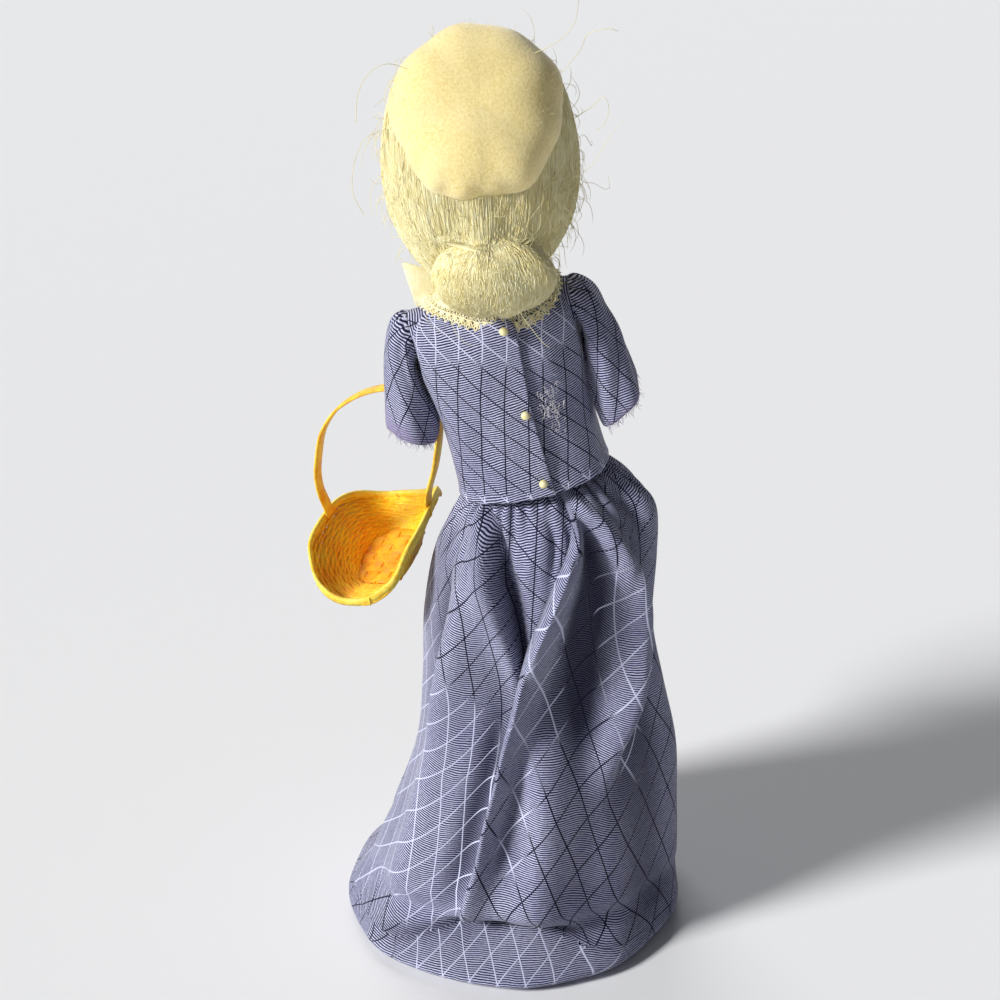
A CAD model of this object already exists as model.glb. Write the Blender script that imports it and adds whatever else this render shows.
# %% [markdown]
# A carolling doll, seen from behind: felt cap, combed hair with a bun, lace collar, pinned jacket, gathered
# skirt and a wicker basket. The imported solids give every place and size. This lesson dresses them, one
# finish at a time. All lengths in the making are millimetres, as a dollmaker would measure, and become
# metres in the last moment.

# %% Load the frame
import math

import bmesh
import bpy
import numpy as np
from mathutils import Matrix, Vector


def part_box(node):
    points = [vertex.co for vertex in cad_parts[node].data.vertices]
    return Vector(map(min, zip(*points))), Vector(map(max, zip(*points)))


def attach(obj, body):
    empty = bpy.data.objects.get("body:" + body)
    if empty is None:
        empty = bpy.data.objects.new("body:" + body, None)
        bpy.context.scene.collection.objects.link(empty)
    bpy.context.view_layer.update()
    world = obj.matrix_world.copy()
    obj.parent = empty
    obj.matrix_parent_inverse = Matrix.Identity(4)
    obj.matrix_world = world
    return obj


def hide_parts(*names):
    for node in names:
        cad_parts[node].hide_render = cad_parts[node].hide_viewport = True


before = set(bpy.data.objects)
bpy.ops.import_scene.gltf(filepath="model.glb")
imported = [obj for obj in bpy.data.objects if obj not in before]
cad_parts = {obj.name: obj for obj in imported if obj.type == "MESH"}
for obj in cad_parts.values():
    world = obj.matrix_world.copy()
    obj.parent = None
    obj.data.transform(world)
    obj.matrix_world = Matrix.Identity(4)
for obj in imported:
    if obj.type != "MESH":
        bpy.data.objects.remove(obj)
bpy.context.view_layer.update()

# %% [markdown]
# Every finish below is a small network of nodes. One helper adds a node and joins or sets its inputs. The
# others build on it: sums, blends of colours, noises, and whole paints whose colour wanders between two
# tones.

# %% Helpers for nodes


def srgb(red, green, blue):
    """A colour from everyday 0 to 255 numbers to the linear values that shaders use."""
    shares = [channel / 255 for channel in (red, green, blue)]
    return tuple(s / 12.92 if s <= 0.04045 else ((s + 0.055) / 1.055) ** 2.4 for s in shares) + (1,)


def add_node(tree, kind, values=None, **settings):
    """A node with its settings. A value that is a socket is joined to its input, any other is set on it."""
    made = tree.nodes.new(kind)
    for name, value in settings.items():
        setattr(made, name, value)
    for key, value in (values or {}).items():
        if isinstance(value, bpy.types.NodeSocket):
            tree.links.new(value, made.inputs[key])
        else:
            made.inputs[key].default_value = value
    return made


def sums(tree, operation, *values):
    return add_node(tree, "ShaderNodeMath", dict(enumerate(values)), operation=operation).outputs[0]


def blend_colours(tree, share, first, second):
    return add_node(tree, "ShaderNodeMix", {0: share, 6: first, 7: second}, data_type="RGBA").outputs[2]


def ease(tree, value, low, high, to_low=0.0, to_high=1.0):
    values = {"Value": value, "From Min": low, "From Max": high, "To Min": to_low, "To Max": to_high}
    return add_node(tree, "ShaderNodeMapRange", values, interpolation_type="SMOOTHSTEP").outputs["Result"]


def noise(tree, place, scale, detail=2.0, distortion=0.0):
    values = {"Vector": place, "Scale": scale, "Detail": detail, "Distortion": distortion}
    return add_node(tree, "ShaderNodeTexNoise", values).outputs["Fac"]


def object_place(tree):
    return add_node(tree, "ShaderNodeTexCoord").outputs["Object"]


def stretched_place(tree, place, scale):
    return add_node(tree, "ShaderNodeMapping", {"Vector": place, "Scale": scale}).outputs[0]


def painted_value(tree, name):
    """A value that is stored on the points of the mesh under that name."""
    return add_node(tree, "ShaderNodeAttribute", attribute_name=name).outputs["Fac"]


def new_group(name, inputs, outputs, kind="ShaderNodeTree"):
    """A node group with inputs, each given as (name, kind, starting value), and outputs as (name, kind)."""
    tree = bpy.data.node_groups.new(name, kind)
    for label, socket_kind, start in inputs:
        socket = tree.interface.new_socket(label, in_out="INPUT", socket_type=socket_kind)
        if start is not None:
            socket.default_value = start
    for label, socket_kind in outputs:
        tree.interface.new_socket(label, in_out="OUTPUT", socket_type=socket_kind)
    return tree, tree.nodes.new("NodeGroupInput").outputs, tree.nodes.new("NodeGroupOutput").inputs


def new_material(name, **constants):
    """A material with a Principled shader whose even values are set on its own sockets."""
    material = bpy.data.materials.new(name)
    material.use_nodes = True
    shader = material.node_tree.nodes["Principled BSDF"]
    for label, value in constants.items():
        shader.inputs[label.replace("_", " ")].default_value = value
    return material, material.node_tree, shader


def raise_surface(tree, shader, height, distance, strength):
    bump = add_node(tree, "ShaderNodeBump", {"Height": height, "Distance": distance, "Strength": strength})
    tree.links.new(bump.outputs["Normal"], shader.inputs["Normal"])


def noise_paint(name, scale, detail, dark, light, eased_over=None, **constants):
    """A material whose colour wanders between two tones by a noise, which comes back too."""
    material, tree, shader = new_material(name, **constants)
    grain = noise(tree, object_place(tree), scale, detail)
    share = ease(tree, grain, *eased_over) if eased_over else grain
    tree.links.new(blend_colours(tree, share, dark, light), shader.inputs["Base Color"])
    return material, tree, shader, grain


def wear_group(tree, shader, group, values, distance, strength):
    """Joins the colour, the roughness and the height that a group gives to a shader."""
    given_out = add_node(tree, "ShaderNodeGroup", values, node_tree=group).outputs
    tree.links.new(given_out["Color"], shader.inputs["Base Color"])
    tree.links.new(given_out["Roughness"], shader.inputs["Roughness"])
    raise_surface(tree, shader, given_out["Height"], distance, strength)


print("middle grey is", round(srgb(128, 128, 128)[0], 3), "to a shader")

# %% [markdown]
# Every piece starts as points in millimetres. These helpers turn points and faces into an object at the
# origin, and measure, smooth and bend lines and grids of points. Chest and head lean, so two helpers move
# points to their place.

# %% Helpers for meshes and points


def placed_object(name, data):
    made = bpy.data.objects.new(name, data)
    bpy.context.scene.collection.objects.link(made)
    return made


def new_piece(name, points, faces, material, uv=None, values=None, other_uv=None, on_faces=None):
    """An object from points in millimetres, with a UV map and with values that belong to each point.

    On the faces that on_faces names, the UV map takes other_uv instead.
    """
    mesh = bpy.data.meshes.new(name)
    faces = faces.tolist() if isinstance(faces, np.ndarray) else faces
    mesh.from_pydata((np.asarray(points, float).reshape(-1, 3) / 1000).tolist(), [], faces)
    if uv is not None:
        corners = np.zeros(len(mesh.loops), np.int32)
        mesh.loops.foreach_get("vertex_index", corners)
        layer = mesh.uv_layers.new(name="cloth")
        places = np.asarray(uv, np.float32).reshape(-1, 2)[corners]
        if other_uv is not None:
            other_corners = np.repeat(on_faces, len(corners) // len(on_faces))
            places[other_corners] = np.asarray(other_uv, np.float32).reshape(-1, 2)[corners][other_corners]
        layer.data.foreach_set("uv", places.ravel())
    for label, numbers in (values or {}).items():
        attribute = mesh.attributes.new(label, "FLOAT", "POINT")
        attribute.data.foreach_set("value", np.asarray(numbers, np.float32).ravel())
    mesh.materials.append(material)
    mesh.polygons.foreach_set("use_smooth", np.full(len(mesh.polygons), True))
    mesh.update()
    return placed_object(name, mesh)


def grid_faces(rows, columns, closed=False):
    """Four-sided faces of a grid, row by row. A closed grid joins its last column to its first."""
    i, j = np.meshgrid(np.arange(rows - 1), np.arange(columns if closed else columns - 1), indexing="ij")
    right = (j + 1) % columns
    here, above = i * columns, (i + 1) * columns
    return np.stack([here + j, here + right, above + right, above + j], -1).reshape(-1, 4)


def weld_doubles(piece):
    """Joins points that lie on each other, where two panels of one piece meet."""
    shaping = bmesh.new()
    shaping.from_mesh(piece.data)
    bmesh.ops.remove_doubles(shaping, verts=shaping.verts, dist=2e-6)
    shaping.to_mesh(piece.data)
    shaping.free()


def thicken(piece, millimetres, offset=-1.0):
    solid = piece.modifiers.new("thickness", "SOLIDIFY")
    solid.thickness = millimetres / 1000
    solid.offset = offset
    return piece


def turned(points, degrees, origin):
    """Points of the leaning chest or head, turned about the front-to-back axis and moved to their place."""
    angle = math.radians(degrees)
    points = np.asarray(points, float)
    x = points[..., 0] * math.cos(angle) + points[..., 2] * math.sin(angle)
    z = points[..., 2] * math.cos(angle) - points[..., 0] * math.sin(angle)
    return np.stack([x, points[..., 1], z], -1) + np.array(origin, float)


chest_lean, head_lean = 13.5, 2.5
waist = np.array([-8.0, 0, 172])


def chest_place(points):
    return turned(points, chest_lean, waist)


neck = chest_place([0, 0, 70])


def head_place(points):
    return turned(points, head_lean, neck)


def unit(vectors):
    vectors = np.asarray(vectors, float)
    return vectors / np.maximum(np.linalg.norm(vectors, axis=-1, keepdims=True), 1e-9)


def power(value, exponent):
    return np.sign(value) * np.abs(value) ** exponent


def apart(angle, other):
    """Degrees from the other angle, which is in degrees, to an angle in radians, the short way round."""
    return (np.degrees(angle) - other + 540) % 360 - 180


def full_turn(count):
    return np.linspace(0, 2 * math.pi, count, endpoint=False)


def step_lengths(points, axis=0):
    return np.linalg.norm(np.diff(points, axis=axis), axis=-1)


def running(steps, axis=0):
    """Sums of the steps along an axis, from 0 before the first step."""
    return np.concatenate([np.zeros_like(np.take(steps, [0], axis)), np.cumsum(steps, axis=axis)], axis)


def smoothed(line, width, **ends):
    """A line of values, each averaged over a soft window of that many steps."""
    window = np.hanning(width)
    return np.convolve(np.pad(line, width // 2, **ends), window / window.sum(), "valid")


def through_rows(rows, place):
    """Values on a smooth curve through the rows of a table."""
    rows = np.asarray(rows, float)
    place = np.asarray(place, float)
    i = np.minimum(np.floor(place).astype(int), len(rows) - 2)
    t = (place - i)[..., None]
    a, b, c, d = [rows[np.clip(i + k, 0, len(rows) - 1)] for k in (-1, 0, 1, 2)]
    return 0.5 * (2 * b + (c - a) * t + (2 * a - 5 * b + 4 * c - d) * t**2 + (3 * b - a - 3 * c + d) * t**3)


def waves(count, seed, frequencies, *places):
    """A soft irregular wave over any places, made of a few seeded sines."""
    dice = np.random.default_rng(seed)
    total = 0
    for _ in range(count):
        turns = [dice.uniform(*f) * dice.choice([-1, 1]) for f in frequencies]
        total = total + np.sin(sum(t * p for t, p in zip(turns, places)) + dice.uniform(0, 2 * math.pi))
    return total / math.sqrt(count)


def join(panels, which, size):
    """One kind of value of several panels, in one row."""
    return np.concatenate([np.asarray(panel[which]).reshape(-1, size) for panel in panels])


print("the neck starts at", neck.round(1), "mm")

# %% [markdown]
# The camera stands behind the doll and looks down on it by a little under thirty degrees, with a long lens,
# so that the doll hardly narrows towards the floor. The light is a soft sun from the upper left, a weak and
# wide one from the front, and a pale surround. The surround looks bright to the camera and in reflections
# but lights the cloth only weakly, so the folds keep their shade. The floor is a plain pale sheet, marked
# as the stage and not as the doll's.

# %% Camera, light and floor
look_down = 28.731
camera_data = bpy.data.cameras.new("viewpoint")
camera_data.lens = 107.97
camera_data.sensor_width = 36
camera = placed_object("viewpoint", camera_data)
camera.location = (0.004, 0.895, 0.65366)
camera.rotation_euler = (math.radians(90 - look_down), 0, math.pi)
bpy.context.scene.camera = camera
bpy.context.scene.view_settings.view_transform = "Standard"


def soft_sun(name, source, strength, spread):
    """A distant soft lamp that shines from the source direction and is as wide as the spread, in radians."""
    lamp_data = bpy.data.lights.new(name, "SUN")
    lamp_data.energy = strength
    lamp_data.angle = spread
    lamp = placed_object(name, lamp_data)
    lamp.rotation_euler = (-Vector(source)).to_track_quat("-Z", "Y").to_euler()


soft_sun("key_lamp", (1.1, 0.55, 0.66), 4.05, 0.24)
soft_sun("front_lamp", (0.3, -1.25, 0.8), 1.05, 0.7)
surround = bpy.data.worlds.new("surround")
surround.use_nodes = True
sky = surround.node_tree
background = sky.nodes["Background"].inputs
background["Color"].default_value = (0.9, 0.95, 1.0, 1)
ray = add_node(sky, "ShaderNodeLightPath").outputs
bent_ray = sums(sky, "MAXIMUM", ray["Is Glossy Ray"], ray["Is Transmission Ray"])
seen = sums(sky, "MAXIMUM", bent_ray, ray["Is Camera Ray"])
sky.links.new(sums(sky, "MULTIPLY_ADD", seen, 0.62, 0.08), background["Strength"])
bpy.context.scene.world = surround

floor_half = 6000
floor_corners = [(x * floor_half, y * floor_half, 0) for x, y in ((-1, -1), (1, -1), (1, 1), (-1, 1))]
floor_paint = new_material("floor_paint", Base_Color=srgb(244, 244, 245), Roughness=0.9)[0]
floor = new_piece("floor", floor_corners, [(0, 1, 2, 3)], floor_paint)
print("camera looks down by", look_down, "degrees")

# %% [markdown]
# The dress cloth is a ribbed weave: pale cross threads stand up over navy ones, about one rib to the
# millimetre. A lattice of long shiny threads crosses it in tall diamonds. The same cloth is cut for skirt,
# jacket and sleeves, so the weave is one node group, and each garment sets the spacing and the lean of its
# two sets of lattice lines. Two values are painted on the mesh: glint says where those threads lie pale and
# where dark, and shelter darkens deep folds.

# %% The weave of the dress cloth
lattice_spacing, lattice_lean = 9.6, 0.457
skirt_lattice = (lattice_spacing, lattice_lean)
weave_group, given, result = new_group(
    "ribbed_lattice",
    [("Cloth", "NodeSocketVector", None), ("Rib Pitch", "NodeSocketFloat", 0.85),
     ("First Spacing", "NodeSocketFloat", lattice_spacing), ("First Lean", "NodeSocketFloat", lattice_lean),
     ("Second Spacing", "NodeSocketFloat", lattice_spacing), ("Second Lean", "NodeSocketFloat", lattice_lean),
     ("Line Width", "NodeSocketFloat", 0.31),
     ("Glint", "NodeSocketFloat", 0.5), ("Shelter", "NodeSocketFloat", 0.0),
     ("Rib Colour", "NodeSocketColor", srgb(219, 221, 252)),
     ("Groove Colour", "NodeSocketColor", srgb(9, 11, 44)),
     ("Dark Thread", "NodeSocketColor", srgb(8, 10, 40)),
     ("Pale Thread", "NodeSocketColor", srgb(206, 208, 234))],
    [("Color", "NodeSocketColor"), ("Height", "NodeSocketFloat"), ("Roughness", "NodeSocketFloat")])


def weave_sum(operation, *values):
    return sums(weave_group, operation, *values)


def weave_blend(share, first, second):
    return blend_colours(weave_group, share, first, second)


split = add_node(weave_group, "ShaderNodeSeparateXYZ", {0: given["Cloth"]}).outputs
drift = noise(weave_group, given["Cloth"], 0.12)
height_here = weave_sum("ADD", split["Y"], weave_sum("MULTIPLY", drift, 1.6))
rib_turn = weave_sum("MULTIPLY", weave_sum("DIVIDE", height_here, given["Rib Pitch"]), 2 * math.pi)
rib = ease(weave_group, weave_sum("SINE", rib_turn), -0.25, 0.45)
thread_noise = noise(weave_group, stretched_place(weave_group, given["Cloth"], (0.9, 2.2, 1)), 1.0, 3.0)
worn = ease(weave_group, thread_noise, 0.3, 0.7, 0.62, 1.0)
cloth_colour = weave_blend(weave_sum("MULTIPLY", rib, worn), given["Groove Colour"], given["Rib Colour"])
cloud = noise(weave_group, given["Cloth"], 0.03, 1.0)
cloth_colour = weave_blend(ease(weave_group, cloud, 0.3, 0.75, 0.0, 0.25), cloth_colour, srgb(84, 82, 128))
cloth_colour = weave_blend(weave_sum("MULTIPLY", given["Shelter"], 0.85), cloth_colour,
                           given["Groove Colour"])
line_masks = []
for label, sign in (("First ", "ADD"), ("Second ", "SUBTRACT")):
    spacing, lean = given[label + "Spacing"], given[label + "Lean"]
    slid = weave_sum(sign, split["X"], weave_sum("MULTIPLY", split["Y"], lean))
    across = weave_sum("MULTIPLY", weave_sum("PINGPONG", weave_sum("DIVIDE", slid, spacing), 0.5), spacing)
    half = weave_sum("MULTIPLY", given["Line Width"], 0.5)
    edges = {"Value": across, "From Min": half, "From Max": weave_sum("ADD", half, 0.16), "To Min": 1.0,
             "To Max": 0.0}
    line_masks.append(add_node(weave_group, "ShaderNodeMapRange", edges).outputs["Result"])
lattice = weave_sum("MAXIMUM", *line_masks)
lattice = weave_sum("MULTIPLY", lattice, ease(weave_group, thread_noise, 0.2, 0.45, 0.75, 1.0))
flicker = weave_sum("ADD", given["Glint"], weave_sum("MULTIPLY", weave_sum("SUBTRACT", cloud, 0.5), 0.9))
thread = weave_blend(ease(weave_group, flicker, 0.4, 0.6), given["Dark Thread"], given["Pale Thread"])
weave_group.links.new(weave_blend(lattice, cloth_colour, thread), result["Color"])
weave_group.links.new(weave_sum("MAXIMUM", weave_sum("MULTIPLY", rib, 0.7), lattice), result["Height"])
weave_group.links.new(ease(weave_group, lattice, 0, 1, 0.78, 0.6), result["Roughness"])


def dress_cloth(name, first, second):
    """The weave as a material, with the spacing and the lean of each set of lattice lines."""
    material, tree, shader = new_material(name, Sheen_Weight=0.25, Sheen_Roughness=0.4,
                                          Specular_IOR_Level=0.12)
    values = {"Cloth": add_node(tree, "ShaderNodeUVMap", uv_map="cloth").outputs["UV"],
              "Glint": painted_value(tree, "glint"), "Shelter": painted_value(tree, "shelter"),
              "First Spacing": first[0], "First Lean": first[1],
              "Second Spacing": second[0], "Second Lean": second[1]}
    wear_group(tree, shader, weave_group, values, 0.00025, 0.8)
    return material


skirt_cloth = dress_cloth("skirt_cloth", skirt_lattice, skirt_lattice)
jacket_cloth = dress_cloth("jacket_cloth", (8.5, -0.234), (7.6, -0.7))
sleeve_cloth = dress_cloth("sleeve_cloth", (9.4, 0.5), (9.4, 0.5))
print("weave group has", len(weave_group.nodes), "nodes")

# %% [markdown]
# The skirt is cut from two lengths of cloth and gathered at the waist. A simulation would fold it
# differently on each machine, so its folds are drawn by rule instead: every crest is a ridge with a steep
# and a long side that wanders round the skirt on its way down, and valleys and one puffed pleat are added
# in the same way. The longest fold, down the middle of the back, rolls over the cloth beside it, so the
# sheet is parted there. Near the floor the back breaks over a crease and turns out in a lip.

# %% The skirt's folds
# rows from hem to waist: height, half width, half depth, shift sideways, shift back, lean, depth of the folds
skirt_rows = np.array([
    (0.6, 56, 56, -1, 2, 0, 1.2), (5, 59.5, 59, -0.5, 2, 0, 2), (15, 53.5, 47.5, -5.5, -4.5, 0, 2.6),
    (25, 52.8, 48, -5.6, -2, 0, 4.4), (45, 48.5, 45, -8.8, -1, 0, 5.4), (70, 44.5, 41.3, -11.5, -0.7, 0, 5.8),
    (95, 41, 37.5, -10, -0.5, 0, 5.6), (120, 38.4, 34.3, -8, 0, 0, 5), (145, 37, 30.5, -10, 0.5, 0.2, 4.2),
    (160, 33.5, 25, -11.6, 0.5, 0.6, 2.8), (169, 26.8, 20, -9, 0, 1, 1), (174, 22.05, 16.05, -7.6, 0, 1, 0.2),
    (179, 21.55, 15.55, -6.4, 0, 1, 0)])
# crests: rows, angle there from the figure's left round by its back, height there, the two spreads
crests = [
    ((0, 12), (4, -8), (0.45, 0.45), 13, 20),
    ((0, 1.9, 3, 4.4, 6.1, 6.9, 7.6, 8.4, 9.2, 12), (38, 38, 37, 31, 37, 45, 49, 47, 41, 36),
     (0.9, 1.2, 1.3, 1.3, 1.5, 1.5, 1.2, 0.9, 0.7, 0.6), 13, 15),
    ((6.5, 6.8, 7.1, 7.6, 8, 8.9, 10.1, 11), (82, 81, 77, 69, 63, 54, 43, 40),
     (0, 0.5, 0.8, 1, 1.2, 1.4, 1.6, 0), 11, 3.5),
    ((4.6, 5.2, 5.6, 6.1, 6.8, 7.5, 8.2, 8.8, 9.6, 10.5, 12),
     (116, 120, 126, 137, 147, 148, 139, 128, 121, 118, 118),
     (0, 0.6, 1.1, 1.7, 2.1, 2.1, 2, 1.8, 1.6, 1, 0.3), 11, 6),
    ((2, 2.8, 3.8, 4.6, 5.4, 6.2), (94, 93, 92, 91, 88, 87), (0.5, 0.9, 1.1, 1.1, 0.8, 0), 9, 14),
    ((0, 2, 4, 5), (126, 126, 124, 122), (0.5, 0.6, 0.5, 0), 12, 12),
    ((0, 6, 8, 9, 9.8, 10.5, 12), (168, 170, 168, 167, 168, 171, 172),
     (0.9, 0.9, 1, 1.6, 1.3, 0.6, 0.3), 12, 18),
    ((0, 12), (208, 212), (1, 1), 14, 18), ((0, 12), (250, 252), (1, 1), 16, 18),
    ((0, 12), (290, 288), (1, 1), 18, 16), ((0, 12), (328, 322), (1, 1), 18, 14)]
# valleys: rows, angle, depth in millimetres, spread
valleys = [
    ((6.3, 6.6, 6.9, 7.2, 7.9, 8.8, 10.1, 10.9), (86, 85.5, 85, 83, 74, 62, 50, 46),
     (0, 1.5, 3.5, 5, 5.5, 5, 3, 0), 4.2),
    ((6.6, 7.5, 8.1, 8.8, 9.7, 10.7), (126, 128, 122, 116, 112, 110), (0, 3, 4.5, 5, 4, 0.4), 6),
    ((4.6, 6, 6.6, 7.5, 8.4), (112, 114, 117, 113, 112), (0, 2.4, 3, 2.4, 0), 9),
    ((2.2, 3, 4.6, 5.6, 6.4), (60, 59, 58, 64, 73), (0, 2, 2.6, 2.6, 0), 5.5),
    ((2.6, 3.6, 4.6, 5.5, 6.4), (75, 75, 73, 77, 88), (0, 1.6, 2.2, 2, 0), 4.5),
    ((5.2, 6, 6.8, 7.5, 8.3), (22, 23, 31, 31, 30), (0, 2.4, 3.2, 3, 0), 6.5),
    ((8.3, 8.8, 9.3, 10), (157, 154, 151, 148), (0, 2, 2.8, 0.3), 5)]
# the puffed pleat: angle, row, height, spread in degrees, spread in rows
puffed_pleat = (84, 8.7, 3.4, 10, 0.95)
# the rolled fold: rows, angle there, height there
rolled_fold = ((0, 2.8, 4.7, 5.6, 6.5, 7.2, 7.6, 8.2, 9, 9.7, 12),
               (64, 65, 65, 70, 79, 86, 91, 97, 104, 110, 112),
               (0, 1.2, 1.7, 1.8, 1.9, 2, 2, 2, 1.9, 1.6, 0.4))
back_middle = 83


def eased(place, rows, values):
    """Values read off a polyline whose corners are rounded."""
    fine = np.linspace(-1, 13, 561)
    return np.interp(place, fine, smoothed(np.interp(fine, rows, values), 49, mode="edge"))


def at_back(angle):
    """One behind the figure, falling to nothing towards its sides."""
    return np.clip(1.35 - np.abs(apart(angle, back_middle)) / 44, 0, 1)


def crease_row(angle):
    """The row at which the back of the skirt breaks: highest in the middle of the back."""
    return 1.75 + 0.45 * np.cos(math.pi * np.clip(np.abs(apart(angle, back_middle)) / 47, 0, 1))


def skirt_surface(angle, place, pressed=0.0, plain=False, over=False):
    """Points of the skirt at an angle and a row of the table, with how far each lies out or in.

    On the cloth that lies over, the rolled fold rises from its tucked edge. The cloth beside it runs under.
    """
    row = through_rows(skirt_rows, place)
    reach = np.zeros_like(angle) - 0.55 * row[..., 6]
    if not plain:
        for rows, at, size, steep, long in crests:
            away = apart(angle, eased(place, rows, at))
            spread = np.where(away < 0, steep, long)
            reach += 1.15 * eased(place, rows, size) * row[..., 6] * np.exp(-((away / spread) ** 2))
        for rows, at, size, spread in valleys:
            away = apart(angle, eased(place, rows, at))
            reach -= eased(place, rows, size) * np.exp(-((away / spread) ** 2))
        at, middle, size, wide, tall = puffed_pleat
        reach += size * np.exp(-((apart(angle, at) / wide) ** 2) - ((place - middle) / tall) ** 2)
        away = apart(angle, eased(place, rolled_fold[0], rolled_fold[1]))
        fold_size = eased(place, rolled_fold[0], rolled_fold[2])
        height = np.interp(place, (1.95, 2.5), (0, 1)) * 1.15 * fold_size * row[..., 6]
        long = np.interp(place, (3, 5.5, 6.5, 7.5, 9, 12), (8, 8, 11, 13, 9, 8))
        roll = np.sqrt(np.clip(1 - (1 - np.clip(away / 3.2, 0, 1)) ** 2, 0, 1))
        reach += height * (np.exp(-((np.maximum(away, 0) / long) ** 2)) * roll if over
                           else 0.12 * np.exp(-((away / 9) ** 2)))
        gather = np.interp(place, (6.5, 8, 9.3, 10.2, 10.9, 12), (0, 0.15, 0.6, 1.1, 0.8, 0.35))
        pleats = waves(5, 4, [(19, 43), (0.5, 1.4)], angle, place)
        reach += gather * (pleats - 0.4 * pleats**2 + 0.2)
        slack = np.interp(place, (1, 3, 8, 10), (0.1, 0.3, 0.3, 0.1))
        reach += slack * waves(6, 9, [(3, 11), (0.5, 1.4)], angle, place)
        from_crease = place - crease_row(angle)
        overhang = np.interp(from_crease, (-0.2, 0.35, 1, 1.8), (0, 1, 0.6, 0)) * at_back(angle)
        tuck = np.exp(-((from_crease / 0.34) ** 2)) * at_back(angle)
        reach += 4.8 * overhang - 3.4 * tuck
        reach += 3 * np.exp(-((apart(angle, 8) / 26) ** 2) - ((place - 2.1) / 0.6) ** 2)
    floor_reach = -0.55 * row[..., 6] - 3.5
    reach = floor_reach + 0.5 * np.log1p(np.exp(np.clip((reach - floor_reach) / 0.5, -30, 30))) - pressed
    x = (row[..., 1] + reach) * np.cos(angle)
    y = (row[..., 2] + reach) * np.sin(angle)
    z = row[..., 0] - x * row[..., 5] * math.tan(math.radians(chest_lean))
    return np.stack([row[..., 3] + x, row[..., 4] + y, z], -1), reach


print("skirt has", len(crests), "crests,", len(valleys), "valleys, a puffed pleat and a rolled fold")

# %% The skirt's cloth
fold_column = 85.0
hem_line = 1.9
left_slant = 27


def slanted(cloth_u, cloth_v, degrees):
    c, s = np.cos(np.radians(degrees)), np.sin(np.radians(degrees))
    return np.stack([cloth_u * c - cloth_v * s, cloth_u * s + cloth_v * c], -1)


def skirt_panel(columns, lines, over, slant, weld_column, hangs_straight=False, widen=1.0):
    """One length of cloth whose columns follow the rolled fold, with its cloth lengths turned by a slant.

    Gives points, UV, angles, rows and shelter, and the UV that the puffed pleat takes instead.
    """
    column_grid, up_grid = np.meshgrid(columns, lines)
    pull = np.cos(math.pi / 2 * np.clip(np.abs(column_grid - fold_column) / 95, 0, 1)) ** 2
    to_fold = eased(up_grid, rolled_fold[0], rolled_fold[1]) - fold_column
    round_grid = np.radians(column_grid + to_fold * pull)
    near_hem = np.interp(up_grid, (0.2, hem_line, 4.5), (0, 1, 0))
    up_grid = up_grid + (crease_row(round_grid) - hem_line) * near_hem
    points, reach = skirt_surface(round_grid, up_grid, over=over)
    mean_reach = reach.mean(1, keepdims=True)
    shelter = np.clip((mean_reach - 0.8 - reach) / 4.5, 0, 1)
    in_crease = np.exp(-(((up_grid - crease_row(round_grid) - 0.06) / 0.2) ** 2)) * at_back(round_grid)
    shelter = np.maximum(shelter, 0.95 * in_crease)
    steps = step_lengths(points, 1)
    behind = np.clip((np.sin(round_grid[:, 1:]) - 0.3) / 0.4, 0, 1)
    sideways = np.maximum(np.abs(np.diff(points[..., 0], axis=1)), 0.4 * steps)
    steps = steps + behind * (sideways - steps)
    deep = np.clip((mean_reach - reach) / 3.0, 0, 1)
    deep = 0.5 * (deep[:, 1:] + deep[:, :-1])
    wanted = np.interp(lines, (0, 8, 10, 12), (1, 0.8, 0.66, 0.55)) * steps[0].sum()
    spare = np.maximum(wanted - steps.sum(1), 0) / np.maximum((steps * deep).sum(1), 1e-6)
    cloth_u = running(steps * (1 + spare[:, None] * deep * (1 - behind)), 1)
    start_at = cloth_u[:, int(np.argmin(np.abs(columns - weld_column)))]
    if hangs_straight:
        facing = (columns > 6) & (columns < fold_column)
        aside = np.interp(lines, (2, 7, 10, 12), (24, 22, 9, 6))
        start_at = np.array([np.interp(-x, np.maximum.accumulate(-across), along)
                             for x, across, along in zip(aside, points[:, facing, 0], cloth_u[:, facing])])
    cloth_u = (cloth_u - start_at[:, None]) / widen
    window = min(25, len(lines) // 2 * 2 - 3)
    cloth_u = np.stack([smoothed(line, window, mode="reflect", reflect_type="odd") for line in cloth_u.T], 1)
    cloth_v = running(np.array([smoothed(line, 41, mode="edge") for line in step_lengths(points)]))
    cloth_v = cloth_v - cloth_v[np.argmin(np.abs(lines - 6.5))].mean()
    slant_here = slant * np.interp(up_grid, (5, 8), (1, 0.3))
    puff_uv = slanted(-points[..., 0], 1.12 * points[..., 2], -22)
    return points, slanted(cloth_u, cloth_v, slant_here), round_grid, up_grid, shelter, puff_uv


def pale_patches(angle, place, patches, base):
    """A value that rises to one in soft patches, each given as angle, row, width, height and strength."""
    value = np.full_like(angle, base)
    for at, middle, wide, tall, strength in patches:
        value += strength * np.exp(-((apart(angle, at) / wide) ** 2) - ((place - middle) / tall) ** 2)
    return np.clip(value, 0, 1)


def stretches(*runs):
    """Numbers in evenly spaced runs, each given as its start, its end and a count."""
    return np.concatenate([np.linspace(*run, endpoint=False) for run in runs])


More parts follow.
